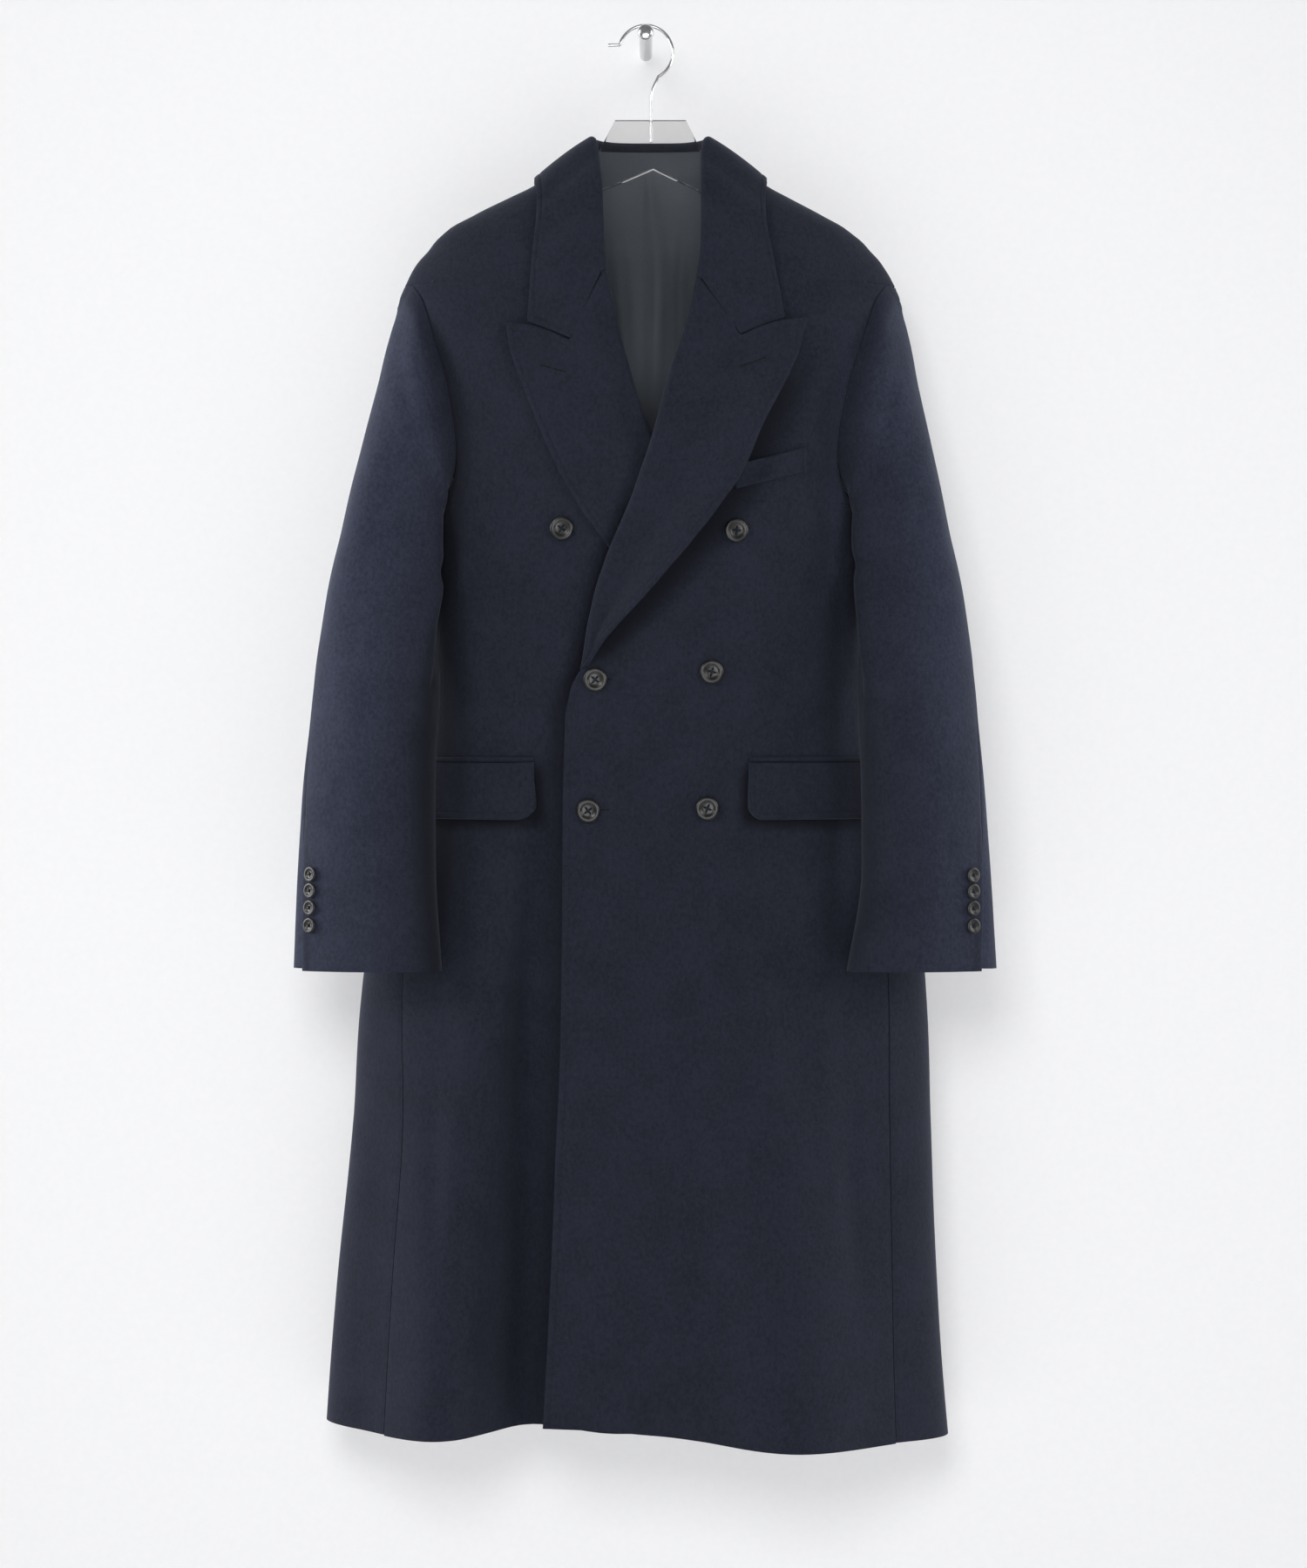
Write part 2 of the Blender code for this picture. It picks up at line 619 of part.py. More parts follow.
def armhole_columns(start, end):
    """Angles of a sleeve's columns at the armhole: its seams, the armhole's rows, and more behind the underarm."""
    row = 180 / ARMHOLE_ROWS
    rows = [row * i for i in range(-ARMHOLE_ROWS, 2 * ARMHOLE_ROWS)]
    rows = sorted(rows + UNDERARM_COLUMNS)
    return [start] + [angle for angle in rows if start + 6 < angle < end - 6] + [end]


def sleeve_piece(side, piece):
    def seams(down):
        hind = sleeve_seam[side](down)
        inner = sleeve_seam["inner"](down)
        gap = mix(2.4, 1.2, down)
        return (hind + gap, inner - gap) if piece == "top" else (inner + gap, hind + 360 - gap)

    held = armhole_columns(*seams(0.0))
    count = len(held) - 1

    def place(across, down):
        share = across if side == "right" else 1 - across
        even = mix(*seams(down), share)
        angle = mix(held[round(share * count)], even, ease(0.0, 0.35, down))
        return sleeve_point(side, down, angle)

    name = f"sleeve_{piece}_{side}"
    cloth_bands(name, SLEEVE_BANDS, SLEEVE_BAND_GAP, count, SLEEVE_ROWS, place, even=False)


for side_name in SIGN:
    for piece_name in ("top", "under"):
        sleeve_piece(side_name, piece_name)

# Lapels
ROLL_SHARE = 0.40
CORNER_REACH = 0.16
PEAK_BOW = 0.0036


def leaf_path(start, mid, edge, u, corner):
    """Point along a leaf from its fold to its edge: a bow through mid, or two straight lines where corner is 1."""
    bow = start * (1 - u) * (1 - 2 * u) + mid * 4 * u * (1 - u) + edge * u * (2 * u - 1)
    straight = mix(start, mid, 2 * u) if u < 0.5 else mix(mid, edge, 2 * u - 1)
    return mix(bow, straight, corner)


def lapel_place(side):
    rows = LAPELS[side]
    heights = [i / (len(rows) - 1) for i in range(len(rows))]
    column = {name: Curve(heights, [getattr(row, name) for row in rows]) for name in Lapel._fields}

    def place(across, down):
        up = 1 - down
        at = {name: curve(up) for name, curve in column.items()}
        roll = Vector((at["roll_x"], at["roll_z"]))
        mid = Vector((at["mid_x"], at["mid_z"]))
        edge = Vector((at["edge_x"], at["edge_z"]))
        outward = (mid - roll).normalized()
        start = roll + outward * ROLL_RADIUS
        share = across if side == "left" else 1 - across
        top = 2 * ROLL_RADIUS - CLOTH / 2
        if share < ROLL_SHARE:
            angle = mix(-90.0, 90.0, share / ROLL_SHARE)
            flat = roll + outward * ROLL_RADIUS * (1 - math.cos(math.radians(angle)))
            lift = top / 2 - CLOTH / 4 + ROLL_RADIUS * math.sin(math.radians(angle))
        else:
            u = (share - ROLL_SHARE) / (1 - ROLL_SHARE)
            corner = ease(1 - CORNER_REACH, 1.0, up)
            flat = leaf_path(start, mid, edge, u, corner)
            flat.y += PEAK_BOW * corner * math.sin(math.pi * max(0.0, 2 * u - 1))
            lift = mix(top, LAPEL_LIFT, ease(0.0, 0.6, u)) + (LAPEL_EDGE_LIFT[side] - LAPEL_LIFT) * ease(0.5, 1.0, u)
        return front_point(side, flat.x, flat.y, lift)

    return place


for side_name in SIGN:
    cloth_wall(f"lapel_{side_name}", 10, 17, lapel_place(side_name), LEAF, offset=0.0)

# Collar
COLLAR_STAND_SHARE = 0.25
COLLAR_FOLD_SHARE = 0.50


def collar_turn(face, x, z):
    if face == "ridge":
        return math.copysign(90.0, x)
    return turn_at(x, z, face == "front")


def collar_rows():
    """Neck seam, fold, middle, leaf edge and outward direction of every row."""
    found = []
    for i, row in enumerate(COLLAR):
        base = body_point(collar_turn(row.face, row.base_x, row.base_z), row.base_z, -CLOTH / 2)
        fold = Vector((row.fold_x, row.fold_y, row.fold_z))
        edge_turn = collar_turn(row.face, row.edge_x, row.edge_z)
        edge = body_point(edge_turn, row.edge_z, COLLAR_LIFT)
        outward = (body_point(edge_turn, row.edge_z, 1.0) - body_point(edge_turn, row.edge_z)).normalized()
        middle = (fold + edge) / 2 + outward * COLLAR_BULGE
        if i in (0, len(COLLAR) - 1):
            corner = NOTCH_CORNERS["right" if i == 0 else "left"]
            middle = body_point(turn_at(*corner), corner[1], COLLAR_LIFT)
        found.append((base, fold, middle, edge, outward))
    return found


collar_keys = [i / (len(COLLAR) - 1) for i in range(len(COLLAR))]
collar_curves = [
    [Curve(collar_keys, [row[part][axis] for row in collar_rows()]) for axis in range(3)] for part in range(5)
]


def collar_place(across, down):
    base, fold, middle, edge, outward = (
        Vector(curve(across) for curve in curves) for curves in collar_curves
    )
    inward = ((base - fold).normalized() + (edge - fold).normalized()).normalized()
    outward = (outward - inward * outward.dot(inward)).normalized()
    centre = fold + inward * ROLL_RADIUS
    share = 1 - down
    if share < COLLAR_STAND_SHARE:
        return mix(base, centre - outward * ROLL_RADIUS, share / COLLAR_STAND_SHARE)
    if share < COLLAR_FOLD_SHARE:
        spread = COLLAR_FOLD_SHARE - COLLAR_STAND_SHARE
        angle = math.radians(mix(-90.0, 90.0, (share - COLLAR_STAND_SHARE) / spread))
        return centre - inward * ROLL_RADIUS * math.cos(angle) + outward * ROLL_RADIUS * math.sin(angle)
    u = (share - COLLAR_FOLD_SHARE) / (1 - COLLAR_FOLD_SHARE)
    start = centre + outward * ROLL_RADIUS
    return leaf_path(start, middle, edge, u, ease(0.5 - CORNER_REACH / 2, 0.5, abs(across - 0.5)))


cloth_wall("collar", 32, 12, collar_place, LEAF, offset=0.0)

# Pockets
def flap_place(flap):
    def place(across, down):
        share = across if flap.side == "left" else 1 - across
        x = mix(flap.front_x, flap.hidden_x, share**1.6)
        inset = max(0.0, 1 - abs(x - flap.front_x) / flap.corner)
        drop = flap.drop - flap.corner * (1 - math.sqrt(max(0.0, 1 - inset * inset)))
        return front_point(flap.side, x, flap.top_z - drop * down, TRIM_LIFT + FLAP_THICK)

    return place


def jet_place(flap):
    def place(across, down):
        share = across if flap.side == "left" else 1 - across
        x = mix(flap.front_x, flap.hidden_x, share)
        z = flap.top_z + JET_HEIGHT + 0.0005 - JET_HEIGHT * down
        return front_point(flap.side, x, z, TRIM_LIFT + CLOTH / 2)

    return place


for pocket in FLAPS:
    cloth_wall(f"flap_{pocket.side}", 14, 4, flap_place(pocket), FLAP_THICK)
    cloth_wall(f"jet_{pocket.side}", 14, 1, jet_place(pocket), CLOTH / 2)


def welt_place(across, down):
    x = mix(WELT["inner_x"], WELT["outer_x"], across)
    z = mix(WELT["inner_z"], WELT["outer_z"], across) - WELT_HEIGHT * down
    return front_point("left", x, z, TRIM_LIFT + WELT_THICK)


cloth_wall("breast_welt", 6, 2, welt_place, WELT_THICK)

# Buttons
BUTTON_PROFILE = [(0.0, 0.135), (0.50, 0.135), (0.66, 0.21), (0.86, 0.25), (1.0, 0.13), (0.92, 0.03), (0.45, 0.0), (0.0, 0.0)]


def turned(name, profile, steps, material):
    """A profile of (radius, height) turned about its own Z axis."""
    mesh = bpy.data.meshes.new(name)
    line = bmesh.new()
    verts = [line.verts.new((radius, 0.0, height)) for radius, height in profile]
    for a, b in zip(verts, verts[1:]):
        line.edges.new((a, b))
    line.to_mesh(mesh)
    line.free()
    made = add_object(name, mesh, material)
    screw = made.modifiers.new("turn", "SCREW")
    screw.steps = steps
    screw.render_steps = steps
    screw.use_merge_vertices = True
    screw.merge_threshold = 0.00005
    return made


def button(name, point, outward, radius, steps):
    made = turned(name, [(r * radius, h * radius) for r, h in BUTTON_PROFILE], steps, "dark horn")
    made.location = point
    made.rotation_mode = "QUATERNION"
    made.rotation_quaternion = outward.to_track_quat("Z", "Y")


for number, spot in enumerate(FRONT_BUTTONS, 1):
    seat = front_point(spot.side, spot.x, spot.z, BUTTON_LIFT)
    over = front_point(spot.side, spot.x, spot.z, BUTTON_LIFT + 0.01)
    button(f"button_front_{number}", seat, (over - seat).normalized(), FRONT_BUTTON_RADIUS, 14)

def sleeve_outward(side, share, angle):
    """Direction out of a sleeve's face."""
    around = sleeve_point(side, share, angle + 2) - sleeve_point(side, share, angle - 2)
    along = sleeve_point(side, share + 0.01, angle) - sleeve_point(side, share - 0.01, angle)
    return (around.cross(along) * SIGN[side]).normalized()


for side_name, cuff_angle in CUFF_BUTTON_ANGLES.items():
    for number, share in enumerate(CUFF_BUTTON_SHARES, 1):
        outward = sleeve_outward(side_name, share, cuff_angle)
        seat = sleeve_point(side_name, share, cuff_angle) + outward * BUTTON_LIFT
        button(f"button_cuff_{side_name}_{number}", seat, outward, CUFF_BUTTON_RADIUS, 10)

# Hanger
def arm_points(points, sign):
    return [(HANGER_MIDDLE + sign * x, z) for x, z in points]


plate_outline = (
    PLATE_TOP
    + arm_points(ARM_TOP + ARM_END + ARM_BOTTOM, 1)
    + [(PLATE_ARCH, PLATE_ARCH_Z)]
    + arm_points((ARM_TOP + ARM_END + ARM_BOTTOM)[::-1], -1)
)


def upright_outline(name, points, thick, material):
    """A flat outline in X and Z, as thick as given along Y."""
    outline = bpy.data.curves.new(name, "CURVE")
    outline.dimensions = "2D"
    outline.fill_mode = "BOTH"
    outline.extrude = thick / 2
    line = outline.splines.new("POLY")
    line.points.add(len(points) - 1)
    for spot, (x, z) in zip(line.points, points):
        spot.co = (x, z, 0.0, 1.0)
    line.use_cyclic_u = True
    made = add_object(name, outline, material)
    made.rotation_euler = (math.pi / 2, 0.0, 0.0)
    return made


def wire(name, points, radius, material):
    path = bpy.data.curves.new(name, "CURVE")
    path.dimensions = "3D"
    path.bevel_depth = radius
    path.bevel_resolution = 2
    path.use_fill_caps = True
    line = path.splines.new("POLY")
    line.points.add(len(points) - 1)
    for spot, point in zip(line.points, points):
        spot.co = (*point, 1.0)
    return add_object(name, path, material)


hook_middle_z = WIRE_RADIUS - HOOK_RADIUS
arc = [math.radians(mix(HOOK_ARC_START, HOOK_ARC_END, i / 20)) for i in range(21)]
hook_arc = [(HOOK_RADIUS * math.cos(a), hook_middle_z + HOOK_RADIUS * math.sin(a)) for a in arc]
hook_points = [(x, 0.0, z) for x, z in HOOK_TIP + hook_arc + HOOK_STEM]
wire("hanger_hook", hook_points, WIRE_RADIUS, "polished wire")

plate_curve = upright_outline("plate_outline", plate_outline, PLATE_THICK, "clear acrylic")
bpy.context.view_layer.update()
plate_mesh = bpy.data.meshes.new_from_object(plate_curve.evaluated_get(bpy.context.evaluated_depsgraph_get()))
plate_mesh.transform(plate_curve.matrix_world)
bpy.data.objects.remove(plate_curve, do_unlink=True)
plate_body = bmesh.new()
plate_body.from_mesh(plate_mesh)
bmesh.ops.remove_doubles(plate_body, verts=plate_body.verts, dist=0.00001)
plate_body.to_mesh(plate_mesh)
plate_body.free()
plate_mesh.materials.clear()
plate = add_object("hanger_plate", plate_mesh, "clear acrylic")

bore_radius = WIRE_RADIUS + SOCKET_GAP
stem_x, stem_end = HOOK_STEM[-1]
bore = turned("socket_cutter", [(0.0, 0.040), (bore_radius, 0.040), (bore_radius, 0.0), (0.0, 0.0)], 12, "clear acrylic")
bore.location = (stem_x, 0.0, stem_end - SOCKET_GAP)
bore.hide_render = True
bore.hide_set(True)
cut = plate.modifiers.new("socket", "BOOLEAN")
cut.operation = "DIFFERENCE"
cut.solver = "EXACT"
cut.object = bore

# Wall peg, turned about its own axis and laid along Y with its head to the front
peg_length = WALL_Y - PEG_HEAD_END
head_length = PEG_HEAD_START - PEG_HEAD_END
peg_profile = [
    (0.0, peg_length),
    (PEG_HEAD - 0.0016, peg_length),
    (PEG_HEAD, peg_length - 0.0016),
    (PEG_HEAD, peg_length - head_length + 0.0010),
    (PEG_HEAD - 0.0010, peg_length - head_length),
    (PEG_NECK, peg_length - head_length - 0.0004),
    (PEG_NECK, 0.0),
    (0.0, 0.0),
]
peg = turned("wall_peg", peg_profile, 16, "polished wire")
peg.rotation_euler = (math.pi / 2, 0.0, 0.0)
peg.location = (0.0, WALL_Y, -PEG_NECK - PEG_DROP)
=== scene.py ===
"""A double-breasted chesterfield overcoat on a clear hanger that hangs from a wall peg.

Metres, +Z up. The front faces -Y and the wearer's left is +X. The origin is the underside
of the hanger hook's crown, where the hook rests on the peg.
"""

import math
from collections import namedtuple

import bmesh
import bpy
import numpy as np
from mathutils import Matrix, Vector
from mathutils.bvhtree import BVHTree


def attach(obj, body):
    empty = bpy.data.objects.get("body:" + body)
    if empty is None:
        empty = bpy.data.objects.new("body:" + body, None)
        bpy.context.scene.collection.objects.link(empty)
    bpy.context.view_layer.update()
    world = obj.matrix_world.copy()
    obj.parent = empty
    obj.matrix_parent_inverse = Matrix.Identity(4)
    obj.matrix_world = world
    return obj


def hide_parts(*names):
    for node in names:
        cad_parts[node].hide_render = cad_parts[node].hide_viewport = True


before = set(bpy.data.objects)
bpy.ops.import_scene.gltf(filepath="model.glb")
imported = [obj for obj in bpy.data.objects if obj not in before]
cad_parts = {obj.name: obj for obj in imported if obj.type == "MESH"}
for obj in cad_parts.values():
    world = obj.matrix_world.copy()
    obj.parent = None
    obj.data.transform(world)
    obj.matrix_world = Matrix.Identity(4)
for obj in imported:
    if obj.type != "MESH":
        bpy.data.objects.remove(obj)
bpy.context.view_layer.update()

# Walls and seams
CLOTH = 0.0024
LEAF = 0.0030
LINING = 0.0012
SEAM_GAP = 0.0001
RIDGE_GAP = 0.0004
SIGN = {"right": -1, "left": 1}

# Body: level rings from hem to neck, half widths to each side, and depths along Y
Section = namedtuple("Section", "z right left side front back")
BODY = [
    Section(-1.320, 0.2975, 0.2815, 0.022, -0.060, 0.066),
    Section(-1.160, 0.2858, 0.2697, 0.024, -0.060, 0.063),
    Section(-1.000, 0.2700, 0.2634, 0.025, -0.059, 0.061),
    Section(-0.880, 0.262, 0.259, 0.026, -0.058, 0.060),
    Section(-0.800, 0.240, 0.240, 0.029, -0.058, 0.060),
    Section(-0.700, 0.213, 0.215, 0.032, -0.060, 0.062),
    Section(-0.580, 0.202, 0.204, 0.032, -0.064, 0.065),
    Section(-0.490, 0.200, 0.203, 0.026, -0.067, 0.067),
    Section(-0.440, 0.192, 0.195, 0.004, -0.068, 0.067),
    Section(-0.335, 0.210, 0.214, 0.002, -0.066, 0.066),
    Section(-0.246, 0.2256, 0.2327, 0.000, -0.058, 0.061),
    Section(-0.239, 0.2211, 0.2288, 0.000, -0.057, 0.060),
    Section(-0.223, 0.2131, 0.2198, 0.000, -0.055, 0.058),
    Section(-0.207, 0.2000, 0.2067, 0.000, -0.052, 0.057),
    Section(-0.191, 0.1860, 0.1900, 0.000, -0.049, 0.055),
    Section(-0.175, 0.1600, 0.1640, 0.000, -0.046, 0.053),
    Section(-0.159, 0.1280, 0.1340, 0.000, -0.042, 0.050),
    Section(-0.143, 0.0970, 0.1060, 0.000, -0.037, 0.047),
    Section(-0.125, 0.0740, 0.0830, 0.000, -0.029, 0.042),
]
FRONT_ROUNDNESS = 2.2
BACK_ROUNDNESS = 2.5

# Folds that deepen from their top to the hem. Depth is along +Y, so a valley of the front is positive
Fold = namedtuple("Fold", "face x_top z_top x_hem half_width depth")
FOLDS = [
    Fold("front", -0.170, -0.78, -0.196, 0.070, -0.024),
    Fold("front", 0.100, -0.74, 0.148, 0.095, -0.027),
    Fold("under", -0.088, -0.60, -0.100, 0.075, 0.040),
    Fold("back", -0.120, -0.70, -0.165, 0.080, 0.014),
    Fold("back", 0.020, -0.80, 0.060, 0.070, -0.010),
    Fold("back", 0.130, -0.70, 0.180, 0.075, 0.016),
]

# Height of the hem across each panel
Hem = namedtuple("Hem", "x under over back")
HEM = [
    Hem(-0.30, -1.283, -1.274, -1.281),
    Hem(-0.20, -1.287, -1.274, -1.287),
    Hem(-0.09, -1.281, -1.276, -1.289),
    Hem(0.01, -1.281, -1.282, -1.290),
    Hem(0.15, -1.281, -1.296, -1.2945),
    Hem(0.28, -1.281, -1.294, -1.2945),
]
HEM_LEVEL = -1.29
HEM_BLEND_TOP = -1.00

# Heights of the panels' rows, and how many rows fill each stretch below
Stretch = namedtuple("Stretch", "top bottom rows")
SHOULDER_TIP = -0.239
UNDERARM = -0.440
LAPEL_BREAK = -0.592
STRETCHES = [
    Stretch(-0.125, SHOULDER_TIP, 32),
    Stretch(SHOULDER_TIP, UNDERARM, 50),
    Stretch(UNDERARM, LAPEL_BREAK, 34),
    Stretch(LAPEL_BREAK, -0.650, 20),
    Stretch(-0.650, HEM_LEVEL, 100),
]

# Armhole: how far each panel is cut in, as a share of the half width
ARMHOLE_CUT = {"front": 0.138, "back": 0.112}
ARMHOLE_ROUNDNESS = {"upper": 2.8, "lower": 2.0}

# Side seam: its place as a share of the half width, on the front face
SideSeam = namedtuple("SideSeam", "z right left")
SIDE_SEAM = [
    SideSeam(-1.300, 0.805, 0.815),
    SideSeam(-1.120, 0.810, 0.838),
    SideSeam(-0.885, 0.845, 0.855),
    SideSeam(-0.700, 0.930, 0.930),
    SideSeam(-0.560, 0.985, 0.985),
    SideSeam(UNDERARM, 1.000, 1.000),
]

# Inner edge of each front panel: neckline, roll line and front edge
FrontEdge = namedtuple("FrontEdge", "z right left")
FRONT_EDGE = [
    FrontEdge(-1.300, 0.0920, -0.0930),
    FrontEdge(-1.175, 0.0890, -0.0865),
    FrontEdge(-1.039, 0.0870, -0.0810),
    FrontEdge(-0.883, 0.0840, -0.0755),
    FrontEdge(-0.730, 0.0820, -0.0740),
    FrontEdge(-0.650, 0.0790, -0.0718),
    FrontEdge(-0.613, 0.0740, -0.0668),
    FrontEdge(-0.599, 0.0690, -0.0612),
    FrontEdge(-0.590, 0.0620, -0.0560),
    FrontEdge(-0.571, 0.0600, -0.0485),
    FrontEdge(-0.532, 0.0515, -0.0395),
    FrontEdge(-0.490, 0.0365, -0.0280),
    FrontEdge(-0.455, 0.0250, -0.0115),
    FrontEdge(-0.417, 0.0120, 0.0015),
    FrontEdge(-0.382, -0.0010, 0.0135),
    FrontEdge(-0.356, -0.0097, 0.0195),
    FrontEdge(-0.322, -0.0205, 0.0297),
    FrontEdge(-0.282, -0.0310, 0.0427),
    FrontEdge(-0.250, -0.0390, 0.0517),
    FrontEdge(-0.236, -0.0455, 0.0570),
    FrontEdge(-0.210, -0.0520, 0.0630),
    FrontEdge(-0.180, -0.0600, 0.0700),
    FrontEdge(-0.150, -0.0680, 0.0770),
    FrontEdge(-0.125, -0.0735, 0.0825),
]

# How far the over-front stands off the under-front, and where it comes down to the body
OverLift = namedtuple("OverLift", "z lift")
OVER_LIFT = [
    OverLift(-1.300, 0.0054),
    OverLift(-0.680, 0.0054),
    OverLift(-0.590, 0.0115),
    OverLift(-0.395, 0.0115),
    OverLift(-0.300, 0.0),
]
OVER_LIFT_FULL_X = 0.075
OVER_LIFT_END_X = 0.190

# Lapels, from the break up to the gorge: roll line, middle and outer edge
Lapel = namedtuple("Lapel", "roll_x roll_z mid_x mid_z edge_x edge_z")
LAPELS = {
    "right": [
        Lapel(0.0655, -0.570, 0.057, -0.566, 0.047, -0.563),
        Lapel(0.062, -0.553, 0.046, -0.548, 0.029, -0.545),
        Lapel(0.054, -0.525, 0.027, -0.521, 0.000, -0.519),
        Lapel(0.042, -0.490, 0.008, -0.490, -0.026, -0.490),
        Lapel(0.031, -0.455, -0.009, -0.460, -0.048, -0.461),
        Lapel(0.0175, -0.417, -0.024, -0.428, -0.067, -0.432),
        Lapel(0.0035, -0.379, -0.039, -0.394, -0.084, -0.399),
        Lapel(-0.0065, -0.350, -0.052, -0.366, -0.098, -0.366),
        Lapel(-0.015, -0.322, -0.062, -0.342, -0.109, -0.338),
        Lapel(-0.023, -0.293, -0.067, -0.321, -0.117, -0.316),
        Lapel(-0.029, -0.266, -0.068, -0.308, -0.122, -0.298),
        Lapel(-0.036, -0.236, -0.068, -0.2965, -0.125, -0.2795),
    ],
    "left": [
        Lapel(-0.0562, -0.592, -0.0530, -0.5895, -0.0495, -0.587),
        Lapel(-0.0535, -0.579, -0.0470, -0.575, -0.0395, -0.571),
        Lapel(-0.0510, -0.562, -0.039, -0.557, -0.025, -0.553),
        Lapel(-0.046, -0.536, -0.025, -0.532, -0.004, -0.530),
        Lapel(-0.036, -0.500, -0.006, -0.498, 0.023, -0.498),
        Lapel(-0.0245, -0.470, 0.009, -0.469, 0.045, -0.470),
        Lapel(-0.0135, -0.444, 0.025, -0.443, 0.066, -0.442),
        Lapel(-0.0030, -0.414, 0.039, -0.413, 0.085, -0.410),
        Lapel(0.0070, -0.384, 0.051, -0.384, 0.098, -0.378),
        Lapel(0.0165, -0.348, 0.064, -0.356, 0.113, -0.349),
        Lapel(0.026, -0.315, 0.076, -0.332, 0.127, -0.322),
        Lapel(0.037, -0.282, 0.083, -0.308, 0.137, -0.299),
        Lapel(0.046, -0.242, 0.0855, -0.2920, 0.143, -0.2770),
    ],
}
ROLL_RADIUS = 0.0032
LAPEL_LIFT = 0.0030
LAPEL_EDGE_LIFT = {"right": 0.0042, "left": 0.0190}

# Collar, from the right gorge round the neck to the left: neck seam, fold and leaf edge
Collar = namedtuple("Collar", "face base_x base_z fold_x fold_y fold_z edge_x edge_z")
COLLAR = [
    Collar("front", -0.0425, -0.2325, -0.0365, -0.0590, -0.2312, -0.1060, -0.2775),
    Collar("front", -0.0500, -0.2080, -0.0385, -0.0555, -0.2030, -0.1040, -0.2500),
    Collar("front", -0.0585, -0.1790, -0.0400, -0.0450, -0.1650, -0.1010, -0.2100),
    Collar("front", -0.0680, -0.1450, -0.0430, -0.0270, -0.1280, -0.0975, -0.1720),
    Collar("ridge", -0.0735, -0.1235, -0.0470, -0.0020, -0.1040, -0.0915, -0.1445),
    Collar("back", -0.0530, -0.1230, -0.0360, 0.0320, -0.1015, -0.0800, -0.1600),
    Collar("back", 0.0040, -0.1230, 0.0040, 0.0450, -0.1005, 0.0040, -0.1680),
    Collar("back", 0.0610, -0.1230, 0.0440, 0.0320, -0.1015, 0.0880, -0.1600),
    Collar("ridge", 0.0825, -0.1235, 0.0550, -0.0020, -0.1040, 0.1010, -0.1445),
    Collar("front", 0.0770, -0.1450, 0.0515, -0.0270, -0.1280, 0.1075, -0.1720),
    Collar("front", 0.0685, -0.1790, 0.0515, -0.0450, -0.1650, 0.1130, -0.2100),
    Collar("front", 0.0605, -0.2080, 0.0510, -0.0560, -0.2040, 0.1200, -0.2480),
    Collar("front", 0.0530, -0.2390, 0.0470, -0.0595, -0.2380, 0.1250, -0.2735),
]
NOTCH_CORNERS = {"right": (-0.0670, -0.2940), "left": (0.0848, -0.2900)}
COLLAR_LIFT = 0.0036
COLLAR_BULGE = 0.0030

# Sleeves below the armhole: outer and inner edge of each loop, its depths, its bow to the body,
# and how far its front laps over the body's front
Loop = namedtuple(
    "Loop",
    "share right_out left_out out_y out_z right_in left_in in_y in_z front back bow right_lap left_lap",
)
SLEEVE = [
    Loop(0.07, 0.2323, 0.2394, 0.004, -0.274, 0.204, 0.207, 0.006, -0.464, 0.052, 0.046, 0.010, 0.015, 0.014),
    Loop(0.16, 0.2454, 0.2498, 0.002, -0.326, 0.210, 0.213, 0.003, -0.490, 0.057, 0.043, 0.003, 0.028, 0.028),
    Loop(0.27, 0.2595, 0.2614, -0.002, -0.388, 0.206, 0.209, -0.008, -0.522, 0.056, 0.039, 0.0, 0.0345, 0.032),
    Loop(0.40, 0.2754, 0.2747, -0.012, -0.462, 0.194, 0.198, -0.030, -0.565, 0.051, 0.037, 0.0, 0.0215, 0.023),
    Loop(0.54, 0.2921, 0.2905, -0.024, -0.548, 0.187, 0.193, -0.053, -0.620, 0.046, 0.038, 0.0, 0.005, 0.008),
    Loop(0.68, 0.3027, 0.2998, -0.035, -0.640, 0.190, 0.195, -0.068, -0.688, 0.041, 0.038, 0.0, 0.0, 0.0),
    Loop(0.84, 0.3117, 0.3086, -0.043, -0.740, 0.189, 0.195, -0.074, -0.760, 0.038, 0.037, 0.0, 0.0, 0.0),
    Loop(1.00, 0.3175, 0.3168, -0.048, -0.863, 0.183, 0.181, -0.076, -0.863, 0.035, 0.035, 0.0, 0.0, 0.0),
]
SleeveSeam = namedtuple("SleeveSeam", "share right left inner")
SLEEVE_SEAMS = [
    SleeveSeam(0.00, -50.0, -50.0, 195.0),
    SleeveSeam(0.45, -6.0, -4.0, 197.0),
    SleeveSeam(0.70, 23.0, 28.0, 198.0),
    SleeveSeam(0.82, 31.0, 37.0, 198.0),
    SleeveSeam(1.00, 39.0, 47.0, 198.0),
]
SLEEVE_GAP = {"ends": 0.0003, "faces": -0.0010}

# Pockets
Flap = namedtuple("Flap", "side front_x hidden_x top_z drop corner")
FLAPS = [
    Flap("right", -0.1010, -0.2000, -0.6760, 0.0510, 0.012),
    Flap("left", 0.0920, 0.2020, -0.6760, 0.0510, 0.012),
]
FLAP_THICK = 0.0030
JET_HEIGHT = 0.0050
TRIM_LIFT = 0.0016
WELT = {"inner_x": 0.0800, "outer_x": 0.1430, "inner_z": -0.4085, "outer_z": -0.3915}
WELT_HEIGHT = 0.0215
WELT_THICK = 0.0026

